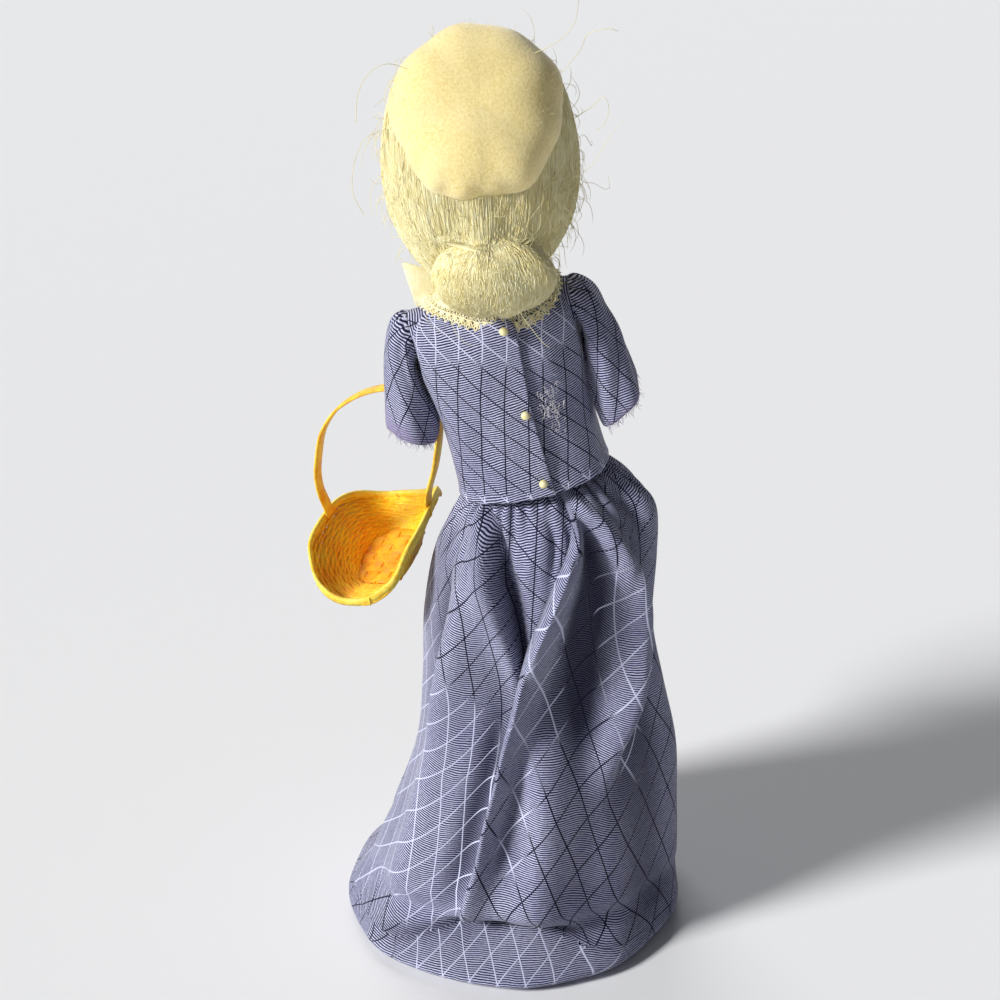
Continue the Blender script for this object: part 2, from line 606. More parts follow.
left_columns = np.append(stretches((-90, 20, 58), (20, 60, 54), (60, fold_column, 44)), fold_column)
right_columns = np.append(stretches((fold_column, 90, 18), (90, 150, 78), (150, 270, 50)), 270)
lip_columns = np.concatenate([left_columns, right_columns[1:]])
tucked_columns = np.concatenate([left_columns, fold_column + np.array([1.0, 2.2, 3.6])])
upper_lines = np.append(stretches((hem_line, 3.2, 20), (3.2, 8, 46), (8, 12, 46)), 12)
panels = [
    skirt_panel(tucked_columns, upper_lines, False, left_slant, fold_column, hangs_straight=True),
    skirt_panel(right_columns, upper_lines, True, 0, fold_column, widen=1.18),
    skirt_panel(lip_columns, np.linspace(0, hem_line, 20), False, 0, 108)]
print("skirt is laid out in", len(panels), "panels with", sum(panel[3].size for panel in panels), "points")

# %% The weave on the lip, and the whole skirt
# at the sides the lip's weave goes on from the panels above, moved by whole diamonds; behind, it has its own
lip_uv = panels[2][1].copy()
edge_uv = np.concatenate([panels[0][1][0, :len(left_columns)], panels[1][1][0, 1:]])
drop = lip_uv[..., 1] - lip_uv[-1:, :, 1]
follow = edge_uv + slanted(0 * drop, drop, np.where(lip_columns < fold_column, left_slant, 0))
half_spacing = lattice_spacing / 2
for beside, at in ((lip_columns < fold_column, 36), (lip_columns >= fold_column, 130)):
    across, up = (lip_uv - follow)[-1, np.argmin(np.abs(lip_columns - at))]
    first = round((across + lattice_lean * up) / lattice_spacing)
    second = round((across - lattice_lean * up) / lattice_spacing)
    follow[:, beside] += np.array([half_spacing * (first + second),
                                   half_spacing * (first - second) / lattice_lean])
own = np.clip((56 - np.abs(lip_columns - back_middle)) / 18, 0, 1)[:, None]
panels[2][1][:] = follow + (lip_uv - follow) * own**2 * (3 - 2 * own)

skirt_glint, skirt_faces, in_puff, start = [], [], [], 0
# for each panel, patches of pale thread: angle, row, width, height, strength
patches = [[(45, 4.2, 24, 2.4, 0.8), (5, 4, 18, 4, 0.7), (60, 9.6, 30, 1.2, 0.2)],
           [(95, 7.4, 12, 1.6, 0.8), (138, 6.8, 14, 1.9, 0.7), (80, 4.6, 9, 1.2, 0.5),
            (60, 3.4, 6, 1.2, 0.6)],
           [(85, 0.9, 46, 1.4, 0.8)]]
for number, (points, _, around, up, *_) in enumerate(panels):
    skirt_glint.append(pale_patches(around, up, patches[number], 0.18).ravel())
    cells = grid_faces(*points.shape[:2])
    angle_here, row_here = np.degrees(around).ravel()[cells].mean(1), up.ravel()[cells].mean(1)
    in_puff.append((number == 0) & (row_here > 6.7) & (angle_here > eased(row_here, *valleys[0][:2])))
    skirt_faces.append(cells + start)
    start += points.shape[0] * points.shape[1]
skirt = new_piece("gathered_skirt", join(panels, 0, 3), np.concatenate(skirt_faces), skirt_cloth,
                  uv=join(panels, 1, 2),
                  values={"glint": np.concatenate(skirt_glint), "shelter": join(panels, 4, 1)},
                  other_uv=join(panels, 5, 2), on_faces=np.concatenate(in_puff))
weld_doubles(skirt)
thicken(skirt, 0.6)
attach(skirt, "figure")
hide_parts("skirt")

# %% [markdown]
# Threads, hairs and reeds are all the same thing to a modeller: something round that follows a path. One
# Geometry Nodes tree does it for the whole doll. It turns loose edges into curves and sweeps a ring along
# them, with the thickness read from a value on each point. A second tree sets one small motif on every
# point of a mesh, turned to face outwards.

# %% Trees for threads and motifs
shape_socket = ("Geometry", "NodeSocketGeometry")
material_socket = ("Material", "NodeSocketMaterial", None)


def named_value(tree, name, kind):
    found = add_node(tree, "GeometryNodeInputNamedAttribute", {"Name": name}, data_type=kind)
    return found.outputs["Attribute"]


def end_tree(tree, shape, given, result):
    """Makes the shape real, paints it and hands it out."""
    whole = add_node(tree, "GeometryNodeRealizeInstances", {"Geometry": shape}).outputs["Geometry"]
    painted = add_node(tree, "GeometryNodeSetMaterial", {"Geometry": whole, "Material": given["Material"]})
    tree.links.new(painted.outputs["Geometry"], result["Geometry"])


thread_tree, given, result = new_group(
    "threads_on_paths", [shape_socket + (None,), ("Sides", "NodeSocketInt", 5), material_socket],
    [shape_socket], "GeometryNodeTree")
curves = add_node(thread_tree, "GeometryNodeMeshToCurve", {"Mesh": given["Geometry"]}).outputs["Curve"]
ring = add_node(thread_tree, "GeometryNodeCurvePrimitiveCircle",
                {"Resolution": given["Sides"], "Radius": 1.0})
swept = add_node(thread_tree, "GeometryNodeCurveToMesh", {
    "Curve": curves, "Profile Curve": ring.outputs["Curve"],
    "Scale": named_value(thread_tree, "girth", "FLOAT"), "Fill Caps": True})
shaded = add_node(thread_tree, "GeometryNodeSetShadeSmooth", {"Geometry": swept.outputs["Mesh"]})
end_tree(thread_tree, shaded.outputs["Geometry"], given, result)

motif_tree, given, result = new_group(
    "motif_on_points", [shape_socket + (None,), ("Motif", "NodeSocketObject", None), material_socket],
    [shape_socket], "GeometryNodeTree")
directions = {"Primary Axis": named_value(motif_tree, "facing", "FLOAT_VECTOR"),
              "Secondary Axis": named_value(motif_tree, "along", "FLOAT_VECTOR")}
axes = add_node(motif_tree, "FunctionNodeAxesToRotation", directions, primary_axis="Z", secondary_axis="X")
motif = add_node(motif_tree, "GeometryNodeObjectInfo", {"Object": given["Motif"]}).outputs["Geometry"]
placed = add_node(motif_tree, "GeometryNodeInstanceOnPoints", {
    "Points": given["Geometry"], "Instance": motif, "Rotation": axes.outputs["Rotation"]})
end_tree(motif_tree, placed.outputs["Instances"], given, result)
print("trees for threads and motifs have", len(thread_tree.nodes) + len(motif_tree.nodes), "nodes")

# %% Threads and motifs from the trees


def baked(source, name):
    """Keeps what a source object's modifiers make as a plain mesh object, and drops the source."""
    bpy.context.view_layer.update()
    mesh = bpy.data.meshes.new_from_object(source.evaluated_get(bpy.context.evaluated_depsgraph_get()))
    mesh.name = name
    bpy.data.objects.remove(source)
    return placed_object(name, mesh)


def grown_by(tree, source, inputs, name):
    """Runs a tree on a source object and keeps the result."""
    modifier = source.modifiers.new("growth", "NODES")
    modifier.node_group = tree
    for socket in tree.interface.items_tree:
        if socket.in_out == "INPUT" and socket.name in inputs:
            modifier[socket.identifier] = inputs[socket.name]
    return baked(source, name)


def threads(name, paths, girths, material, sides=5, closed=False):
    """Round threads along paths in millimetres. Each path has one thickness, or one for each point."""
    points, edges, sizes, start = [], [], [], 0
    for path, thick in zip(paths, girths):
        count = len(path)
        points.append(np.asarray(path, float))
        sizes.append(np.broadcast_to(np.asarray(thick, float), (count,)))
        ends = np.arange(start, start + count)
        pairs = np.stack([ends, np.roll(ends, -1)], -1)
        edges.append(pairs if closed else pairs[:-1])
        start += count
    mesh = bpy.data.meshes.new(name + "_paths")
    mesh.from_pydata((np.concatenate(points) / 1000).tolist(), np.concatenate(edges).tolist(), [])
    girth = mesh.attributes.new("girth", "FLOAT", "POINT")
    girth.data.foreach_set("value", (np.concatenate(sizes) / 1000).astype(np.float32))
    source = placed_object(name + "_paths", mesh)
    return grown_by(thread_tree, source, {"Sides": sides, "Material": material}, name)


def motifs(name, places, facing, along, motif_object, material):
    """One motif on every place, its Z axis along facing and its X axis along the given direction."""
    mesh = bpy.data.meshes.new(name + "_places")
    mesh.from_pydata((np.asarray(places) / 1000).tolist(), [], [])
    for label, vectors in (("facing", facing), ("along", along)):
        attribute = mesh.attributes.new(label, "FLOAT_VECTOR", "POINT")
        attribute.data.foreach_set("vector", np.asarray(vectors, np.float32).ravel())
    source = placed_object(name + "_places", mesh)
    return grown_by(motif_tree, source, {"Motif": motif_object, "Material": material}, name)


print("threads have", len(thread_tree.interface.items_tree), "sockets and motifs",
      len(motif_tree.interface.items_tree))

# %% [markdown]
# The jacket is one sheet that starts under the lap at the back, goes round by the right side and the front,
# and comes back over itself to the free edge that the pins hold. Between the pins that edge gapes a little.
# The cloth was cut aslant, so its ribs run down across the back, and one set of lattice lines hangs nearly
# upright.

# %% The jacket's form
# rows from the lower edge to the neck: height, half width, half depth
jacket_rows = np.array([(3, 25.5, 19.7), (20, 25.3, 18.8), (38, 26.2, 19.3), (54, 28.2, 19.0),
                        (64.5, 27.2, 17.5), (69.5, 21.5, 14.5), (72.3, 15.5, 12.2), (73.5, 12, 10.5)])
jacket_square = 2.6
armhole_plane = 26.6
shoulder = 62.0
pin_heights, pin_head = (65.2, 34.5, 8.5), 1.5


def jacket_surface(angle, place, out=0.0):
    row = through_rows(jacket_rows, place)
    x = (row[..., 1] + out) * power(np.cos(angle), 2 / jacket_square)
    y = (row[..., 2] + out) * power(np.sin(angle), 2 / jacket_square)
    x = np.clip(x, -armhole_plane - out, armhole_plane + out)
    return np.stack([x, y, row[..., 0] + 0 * x], -1)


jacket_lines = np.linspace(0, 7, 96)


def jacket_panel(first, last, count, anchor):
    """Points of the jacket between two angles, with its cloth lengths counted from one of its columns."""
    turn_grid, line_grid = np.meshgrid(np.radians(np.linspace(first, last, count)), jacket_lines)
    degrees = np.degrees(turn_grid)
    heights = through_rows(jacket_rows, line_grid)[..., 0]
    over = np.clip((degrees - 424) / 26, 0, 1)
    over = over * over * (3 - 2 * over)
    near_edge = np.clip((degrees - 444) / 16, 0, 1) ** 2
    spans = [(pin_heights[2], pin_heights[1]), (pin_heights[1], pin_heights[0])]
    gape = sum(np.sin(np.pi * np.clip((heights - low) / (high - low), 0, 1)) ** 2 for low, high in spans)
    drag = np.exp(-((apart(turn_grid, 118) / 14) ** 2)) + np.exp(-((apart(turn_grid, 64) / 14) ** 2))
    wrinkle = 0.3 * waves(7, 21, [(3, 9), (1.5, 4)], turn_grid, line_grid)
    wrinkle += 0.45 * drag * np.sin(line_grid * 4.2 + np.radians(apart(turn_grid, 90)) * 5)
    tug = 0
    for height, name in zip(pin_heights, ("top_pin", "middle_pin", "bottom_pin")):
        here = np.interp(height, jacket_rows[:, 0], np.arange(8.0))
        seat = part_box(name)[1][1] * 1000 - 2 * pin_head
        lift = seat - jacket_surface(np.radians(96.0), np.array(here), 1.15)[1]
        tug = tug + lift * over * np.exp(-((apart(turn_grid, 96) / 13) ** 2) - ((heights - height) / 7) ** 2)
    fade = np.interp(line_grid, (0, 0.6, 5, 6), (0.6, 1, 1, 0))
    out = 1.15 * over + 0.9 * near_edge * gape + wrinkle * fade * (1 - 0.8 * np.minimum(np.abs(tug), 1))
    out = out + tug + 0.4 * np.exp(-((line_grid / 0.15) ** 2))
    points = jacket_surface(turn_grid, line_grid, out)
    free_edge = np.clip((degrees - 436) / 24, 0, 1)
    points[..., 0] += free_edge * (0.9 * np.sin(np.pi * np.clip(heights / 66, 0, 1)) - 0.3)
    around = step_lengths(points, 1)
    cloth_u = running(around, 1)
    cloth_u = cloth_u - cloth_u[:, [anchor]]
    cloth_v = running(step_lengths(points)) + 0.15 * points[..., 0]
    right_side = np.clip((270 - degrees) / 40, 0, 1)
    glint = np.clip(np.interp(heights, (3, 8, 46, 56, 62), (0.75, 0.15, 0.2, 0.6, 0.85))
                    + 0.12 * right_side, 0, 1)
    return points, np.stack([cloth_u, cloth_v], -1), glint, around[40].sum()


print("jacket is up to", 2 * jacket_rows[:, 1].max(), "mm wide")

# %% The jacket's sheet and its armhole rings
jacket_panels = [jacket_panel(83.6, 180, 80, 0), jacket_panel(180, 360, 120, 60),
                 jacket_panel(360, 460.5, 90, -1)]
jacket_faces, start = [], 0
for points, *_ in jacket_panels:
    cells = grid_faces(*points.shape[:2])
    middles = points.reshape(-1, 3)[cells].mean(1)
    in_armhole = (np.abs(middles[:, 0]) > 20) & (np.hypot(middles[:, 1], middles[:, 2] - shoulder) < 6.6)
    jacket_faces.append(cells[~in_armhole] + start)
    start += points.shape[0] * points.shape[1]
jacket = new_piece("pinned_jacket", chest_place(join(jacket_panels, 0, 3)), np.concatenate(jacket_faces),
                   jacket_cloth, uv=join(jacket_panels, 1, 2), values={"glint": join(jacket_panels, 2, 1)})
weld_doubles(jacket)
thicken(jacket, 0.5)
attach(jacket, "figure")
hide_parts("jacket", "back_flap")
shoulder_turns, shoulder_out = np.meshgrid(np.linspace(0, 2 * math.pi, 49), np.linspace(15.5, 26.9, 14))
ring_radius = np.interp(shoulder_out, (15.5, 22, 26.9), (7.4, 7.7, 7.35))
ring_y, ring_z = ring_radius * np.sin(shoulder_turns), shoulder + ring_radius * np.cos(shoulder_turns)
ring_cells = grid_faces(14, 49)
for side, name in ((1, "left"), (-1, "right")):
    tube = np.stack([side * shoulder_out, ring_y, ring_z], -1)
    cells = ring_cells if side > 0 else ring_cells[:, ::-1]
    ring = new_piece(name + "_armhole_ring", chest_place(tube), cells, jacket_cloth,
                     uv=np.stack([7.5 * shoulder_turns, side * shoulder_out], -1),
                     values={"glint": np.full(tube.shape[:2], 0.2)})
    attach(ring, "figure")
    thicken(ring, 0.4)

# %% [markdown]
# Each sleeve is gathered into the round armhole, puffs out at the shoulder and hangs to the elbow, where
# the raw edge is cut aslant: short in the crook, long behind. Every thread line down the sleeve is a curve
# from a point of the armhole to a point of the edge. The cut edge has frayed, so it shows the violet warp
# and a fringe of loose ends.

# %% The sleeves' cloth and form
elbows = {"left": np.array([36, 3, 29.0]), "right": np.array([-34, 3, 25.0])}
fray_paint = noise_paint("frayed_thread", 700.0, 2.0, srgb(140, 126, 172), srgb(212, 204, 222), (0.35, 0.65),
                         Roughness=0.85, Sheen_Weight=0.3)[0]
tree = sleeve_cloth.node_tree
shader = tree.nodes["Principled BSDF"]
woven = shader.inputs["Base Color"].links[0].from_socket
spot = noise(tree, object_place(tree), 350.0, 3.0)
uneven = sums(tree, "MULTIPLY", sums(tree, "SUBTRACT", spot, 0.5), 1.3)
raw_mask = ease(tree, sums(tree, "ADD", painted_value(tree, "raw_edge"), uneven), 0.25, 0.9, 0, 0.85)
tree.links.new(blend_colours(tree, raw_mask, woven, srgb(138, 128, 162)), shader.inputs["Base Color"])


def sleeve_ends(side, elbow):
    """The middles of a sleeve's top and of its foot, below the elbow."""
    head = np.array([side * (armhole_plane + 2.6), 0, shoulder - 1])
    return head, elbow + np.array([1.5 * side, 1.2, -12])


def sleeve_surface(side, elbow, round_it, down):
    """Points of a sleeve: round_it 0 is on top and outside, half a turn is under the arm, down runs to 1."""
    c, s = np.cos(round_it), np.sin(round_it)
    start = np.stack([np.full_like(c, side * (armhole_plane + 0.35)), 7.2 * s, shoulder + 7.2 * c], -1)
    head, foot = sleeve_ends(side, elbow)
    axis = unit(foot - head)
    outwards = unit(np.array([side, 0, 0]) - side * axis[0] * axis)
    behind = np.cross(axis, outwards) * -side
    ring = foot + 8.2 * c[..., None] * outwards + 8.4 * s[..., None] * (behind if behind[1] > 0 else -behind)
    lean, slope = math.radians(10), math.radians(44)
    hem_normal = np.array([-side * math.sin(lean) * math.cos(slope), math.sin(slope),
                           math.cos(lean) * math.cos(slope)])
    back_normal = np.array([-side * math.sin(math.radians(30)), math.sin(math.radians(5)), 0.87])
    slide = ((elbow + [0, 0, 3.6] - ring) @ hem_normal) / (axis @ hem_normal)
    slide_behind = ((elbow + [0, 0, 0.2 if side > 0 else -3.0] - ring) @ back_normal) / (axis @ back_normal)
    turned_back = np.clip(s / 0.6, 0, 1)
    slide = slide + (slide_behind - slide) * turned_back**2 * (3 - 2 * turned_back)
    end = ring + slide[..., None] * axis
    puff = start + np.stack([side * (4.5 + 5.0 * np.clip(c, 0, 1)), 3.0 * s, 2.2 * np.clip(c, -0.2, 1)], -1)
    reach = np.linalg.norm(end - start, axis=-1, keepdims=True)
    hang = end - axis * 0.45 * reach
    t = down[..., None]
    points = (1 - t) ** 3 * start + 3 * (1 - t) ** 2 * t * puff + 3 * (1 - t) * t**2 * hang + t**3 * end
    middle = head + axis * np.maximum(((points - head) @ axis)[..., None], 0)
    away = unit(points - middle)
    gather = 0.45 * np.exp(-((down / 0.22) ** 2)) * np.sin(15 * round_it + 1.3 * np.sin(3 * round_it))
    gather = gather * np.clip(down / 0.05, 0, 1)
    crumple = 0.4 * waves(6, 5 + side, [(2, 6), (5, 14)], round_it, down) * np.clip(down / 0.2, 0, 1)
    return points + away * (gather + crumple)[..., None]


print("elbows lie", [float(shoulder - elbow[2]) for elbow in elbows.values()], "mm below the shoulders")

# %% Both sleeves and their frayed edges
sleeve_turns, sleeve_downs = 97, 60
turn_grid, down_grid = np.meshgrid(np.linspace(0, 2 * math.pi, sleeve_turns) + math.pi,
                                   np.linspace(0, 1, sleeve_downs))
sleeve_cells = grid_faces(sleeve_downs, sleeve_turns)
for side, name in ((1, "left"), (-1, "right")):
    local = sleeve_surface(side, elbows[name], turn_grid, down_grid)
    around, down_steps = step_lengths(local, 1), step_lengths(local)
    cloth_v = running(down_steps)
    raw = np.clip(1 - (cloth_v[-1:] - cloth_v) / (13.0 if side > 0 else 5.0), 0, 1)
    raw = raw * (0.6 + 0.4 * np.clip(np.cos(turn_grid - 0.4), -0.3, 1))
    sleeve_top, sleeve_foot = sleeve_ends(side, elbows[name])
    along_arm = (local - sleeve_top) @ unit(sleeve_foot - sleeve_top)
    ring_length = 0.25 * cloth_v.mean(1, keepdims=True) + 0.78 * along_arm
    cells = sleeve_cells if side > 0 else sleeve_cells[:, ::-1]
    sleeve = new_piece(name + "_puffed_sleeve", chest_place(local), cells, sleeve_cloth,
                       uv=np.stack([9.0 * side * turn_grid, -ring_length + 1.6 * side * turn_grid], -1),
                       values={"glint": np.full(local.shape[:2], 0.12), "raw_edge": raw})
    thicken(sleeve, 0.5)
    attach(sleeve, "arm_" + name)
    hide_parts(name + "_sleeve")
    wide, tall = around[30].sum() / 1000, cloth_v[-1].max() / 1000
    dice = np.random.default_rng(31 + side)
    ends = []
    for _ in range(150):
        j = dice.integers(0, 96)
        edge = local[-1, j]
        outward = unit(edge - local[-4, j])
        sway = dice.normal(0, 0.35, 3)
        length = dice.uniform(0.8, 2.6)
        ends.append(chest_place(np.stack([edge + (outward + sway * t) * length * t
                                          for t in (-0.15, 0.35, 0.7, 1.0)])))
    fringe = threads(name + "_sleeve_fraying", ends, [np.array([0.11, 0.1, 0.08, 0.05])] * len(ends),
                     fray_paint, sides=3)
    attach(fringe, "arm_" + name)
    print(name, "sleeve edge has", len(ends), "loose ends")

# %% [markdown]
# Beside the middle pin the cloth of the right panel has a snag, where a few pale threads have pulled loose.
# They are short threads again, laid over the jacket's own surface.

# %% The snag in the jacket
dice = np.random.default_rng(77)
snag_middle = (math.radians(90 + 25), 1.78)
snags = []
for _ in range(80):
    turn = snag_middle[0] + math.radians(dice.normal(0, 5.6))
    row = snag_middle[1] + dice.normal(0, 0.24)
    way = dice.uniform(0, 2 * math.pi)
    span = dice.uniform(0.5, 1.6)
    share = np.linspace(-1, 1, 5)
    bend = dice.normal(0, 0.5)
    turn_path = turn + np.radians(1.3 * span * (share * math.cos(way) + bend * share**2))
    row_path = row + 0.06 * span * (share * math.sin(way) - bend * share**2)
    snags.append(chest_place(jacket_surface(turn_path, row_path,
                                            0.55 + 0.5 * (1 - share**2) * dice.uniform(0.2, 1))))
snag_paint = new_material("pale_pulled_thread", Base_Color=srgb(214, 210, 214), Roughness=0.7,
                          Sheen_Weight=0.4)[0]
snag_girth = np.array([0.06, 0.13, 0.15, 0.13, 0.06])
snag = threads("jacket_snag", snags, [snag_girth] * len(snags), snag_paint, sides=3)
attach(snag, "figure")
print("snag has", len(snags), "pulled threads")

# %% [markdown]
# The collar is crochet: a plain band at the neck, two rings of chain with a trellis between them, and a row
# of small looped points along the edge. The looped point is modelled once from three petals of yarn and set
# round the edge by the motif tree. Rings and trellis are threads on paths over the shoulders.

# %% The collar's yarn and form
lace_yarn, lace_tree, lace_shader, _ = noise_paint(
    "lace_yarn", 260.0, 4.0, srgb(236, 224, 174), srgb(250, 244, 208), (0.3, 0.7), Roughness=0.8,
    Sheen_Weight=0.3)
raise_surface(lace_tree, lace_shader, noise(lace_tree, object_place(lace_tree), 1800.0), 0.0002, 0.6)
# the collar's edge: degrees from the figure's left round by its back, and the jacket row it reaches there
edge_turns = (0, 20, 45, 65, 81, 90, 97, 110, 130, 155, 180, 230, 270, 320, 360)
edge_places = (5.6, 5.8, 5.6, 5.2, 4.6, 4.0, 3.7, 3.75, 4.2, 4.9, 5.15, 4.9, 4.85, 4.95, 5.6)


def collar_surface(angle, share, out=1.35):
    """Points of the collar from the neck, share 0, to its edge, share 1."""
    degrees = np.degrees(angle) % 360
    edge = np.mean([np.interp((degrees + blur) % 360, edge_turns, edge_places)
                    for blur in (-9, -3, 3, 9)], axis=0)
    place = 6.8 + (edge - 6.8) * share
    row = through_rows(jacket_rows, place)
    spread = 1 + (24 / through_rows(jacket_rows, np.array(4.9))[1] - 1) * share * np.abs(np.cos(angle)) ** 2
    x = (row[..., 1] + out) * spread * power(np.cos(angle), 2 / jacket_square)
    y = (row[..., 2] + out) * power(np.sin(angle), 2 / jacket_square)
    return np.stack([x, y, row[..., 0] + 0.6 * out], -1)


def evenly_round(count, share):
    """Angles whose points lie evenly spaced along the collar at that share of its width."""
    fine = np.linspace(0, 2 * math.pi, 721)
    length = running(step_lengths(collar_surface(fine, share + 0 * fine)))
    return np.interp(np.linspace(0, length[-1], count, endpoint=False), length, fine), length[-1]


edge_angles, edge_length = evenly_round(50, 0.93)
print("collar edge is", round(edge_length), "mm round with", len(edge_angles), "looped points")

# %% Chains, trellis and looped points
yarn_paths, yarn_girths = [], []
for share, wave, thick in ((0.30, 0.0, 0.34), (0.5, 0.01, 0.3), (0.62, 0.0, 0.3), (0.88, 0.012, 0.34)):
    angles, _ = evenly_round(300, share)
    yarn_paths.append(chest_place(collar_surface(angles, share + wave * np.sin(60 * angles), 1.35)))
    yarn_girths.append(thick)
for low, high, count, phase in ((0.62, 0.88, 100, 0), (0.62, 0.88, 100, 1), (0.3, 0.5, 120, 0)):
    angles, _ = evenly_round(count, 0.8)
    gaps = (np.roll(angles, -1) - angles) % (2 * math.pi)
    thirds = np.linspace(0, 1, 3, endpoint=False)
    angles = np.concatenate([angle + thirds * gap for angle, gap in zip(angles, gaps)])
    zigzag = np.abs(((np.arange(3 * count) / 3 + phase) % 2) - 1)
    yarn_paths.append(chest_place(collar_surface(angles, low + (high - low) * zigzag, 1.35 + 0.25 * phase)))
    yarn_girths.append(0.22)
lace_threads = threads("collar_lace_threads", yarn_paths, yarn_girths, lace_yarn, sides=5, closed=True)

petal_paths = []
for lean, reach in ((-0.55, 2.1), (0, 2.75), (0.55, 2.1)):
    t = np.linspace(0, 2 * math.pi, 13)
    loop = np.stack([0.48 * np.sin(t), reach * 0.5 * (1 - np.cos(t)), 0.18 * np.sin(t / 2)], -1)
    c, s = math.cos(lean), math.sin(lean)
    petal_paths.append(np.stack([loop[:, 0] * c + loop[:, 1] * s, loop[:, 1] * c - loop[:, 0] * s,
                                 loop[:, 2]], -1))
looped_point = threads("looped_point", petal_paths, [0.24] * 3, lace_yarn, sides=4)
here = collar_surface(edge_angles, 0.9 + 0 * edge_angles, 1.4)
beyond = collar_surface(edge_angles, 1.0 + 0 * edge_angles, 1.4)
beside = collar_surface(edge_angles + 0.01, 0.9 + 0 * edge_angles, 1.4)
along_edge = chest_place(beside) - chest_place(here)
outward = chest_place(beyond) - chest_place(here)
lace_edge = motifs("collar_lace_points", chest_place(here), unit(np.cross(unit(along_edge), unit(outward))),
                   unit(along_edge), looped_point, lace_yarn)
bpy.data.objects.remove(looped_point)
print("collar has", len(yarn_paths), "chains and trellis lines")

# %% The collar's band and its standing end
band_angles = np.linspace(0, 2 * math.pi, 161)
band_grid, share_grid = np.meshgrid(band_angles, np.linspace(0.0, 0.64, 10))
band_rows = chest_place(collar_surface(band_grid, share_grid, 1.25))
neck_ring = head_place(np.stack([8.7 * np.cos(band_angles), 8.7 * np.sin(band_angles) - 1,
                                 np.full(161, 6.2)], -1))
neck_rows = [neck_ring + (band_rows[0] - neck_ring) * share for share in (0, 0.35, 0.7)]
band_rows = np.concatenate([neck_rows, band_rows])
lace_band = new_piece("collar_lace_band", band_rows, grid_faces(13, 161), lace_yarn)
thicken(lace_band, 0.35, 0)
end_across, end_rise = np.meshgrid(np.linspace(15, 24, 24), np.linspace(0, 1, 16))
end_low = 67.5 - 0.75 * np.maximum(end_across - 21, 0)
end_high = 86 - 0.45 * np.abs(end_across - 23)
end_depth = -3 - 0.05 * (end_across - 18) ** 2 + 1.2 * np.sin(2 * end_rise)
collar_end_points = np.stack([end_across + 0.8 * end_rise, end_depth,
                              end_low + (end_high - end_low) * end_rise], -1)
collar_end = new_piece("collar_standing_end", chest_place(collar_end_points), grid_faces(16, 24), lace_yarn)
thicken(collar_end, 0.4, 0)
for made in (lace_threads, lace_edge, lace_band, collar_end):
    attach(made, "figure")
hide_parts("collar_lace")

# %% [markdown]
# The head is modelled and painted like any doll's: a rounded form that narrows to the jaw, with a soft
# nose, lowered eyelids and lips just parted for a note. It could be sculpted, but a fine grid pushed in and
# out by a few smooth bumps is quicker to adjust. The same bumps give the masks for blush, lips, brows and
# lashes.

# %% The head's form
skull_half = np.array([22.5, 24, 28.5])
skull_middle = np.array([0, -5, 48.0])


def mound(x, z, at_x, at_z, wide, tall):
    return np.exp(-(((x - at_x) / wide) ** 2) - ((z - at_z) / tall) ** 2)


head_rows, head_columns, neck_rows, neck_columns = 150, 240, 24, 64
polar, azimuth = np.meshgrid(np.linspace(0.004, math.pi - 0.004, head_rows), full_turn(head_columns),
                             indexing="ij")
ball = np.stack([np.sin(polar) * np.cos(azimuth), np.sin(polar) * np.sin(azimuth), -np.cos(polar)], -1)
face_x, face_z = np.abs(ball[..., 0]), ball[..., 2]
front = np.clip(-ball[..., 1], 0, 1) ** 0.5
lid_arc = -0.055 - 0.045 * (1 - ((face_x - 0.33) / 0.15) ** 2)
brow_arc = 0.17 + 0.05 * (1 - ((face_x - 0.33) / 0.2) ** 2)
mouth_bow = -0.52 + 0.012 * np.cos(face_x * 24) * (face_x < 0.13)
# bumps of the face: height, place across and up, half width, half height; those aside come in pairs
face_bumps = (
    (3.0, 0, -0.2, 0.11, 0.16), (1.3, 0, 0.0, 0.09, 0.16), (0.9, 0.085, -0.27, 0.05, 0.05),
    (-0.7, 0.055, -0.335, 0.03, 0.02), (-1.5, 0.34, 0.03, 0.19, 0.13), (1.5, 0.33, -0.03, 0.12, 0.085),
    (0.9, 0.45, -0.32, 0.22, 0.2), (1.4, 0, -0.82, 0.24, 0.14), (0.9, 0.05, -0.465, 0.1, 0.04),
    (1.0, 0, -0.585, 0.11, 0.045), (0.35, 0.33, 0.2, 0.2, 0.05))
relief = sum(height * mound(face_x, face_z, *place) for height, *place in face_bumps)
relief -= 1.3 * mound(face_x, face_z - mouth_bow, 0, 0, 0.12, 0.028)
jaw = np.where(face_z < 0, 1 - 0.22 * face_z**2, 1)
head_points = skull_middle + ball * skull_half * np.stack([jaw, jaw, np.ones_like(jaw)], -1)
head_points[..., 1] -= relief * front
in_front = np.clip((-ball[..., 1] - 0.2) / 0.3, 0, 1)
lips = in_front * np.clip(1.5 - ((face_x / 0.155) ** 2 + ((face_z + 0.523) / 0.078) ** 2) * 1.5, 0, 1)
mouth_gap = in_front * np.clip(1.6 - ((face_x / 0.115) ** 2 + ((face_z - mouth_bow) / 0.022) ** 2), 0, 1)
from_eye = np.abs(face_x - 0.33)
lash_line = np.clip(1.4 - np.abs(face_z - lid_arc) / 0.016, 0, 1)
brow_line = np.clip(1.3 - np.abs(face_z - brow_arc) / 0.024, 0, 1)
lashes = in_front * lash_line * np.clip((0.15 - from_eye) / 0.03, 0, 1)
brows = in_front * brow_line * np.clip((0.19 - from_eye) / 0.06, 0, 1)
blush = in_front * mound(face_x, face_z, 0.46, -0.34, 0.2, 0.17)
neck_rise, neck_turn = np.meshgrid(np.linspace(4.6, 42, neck_rows), full_turn(neck_columns), indexing="ij")
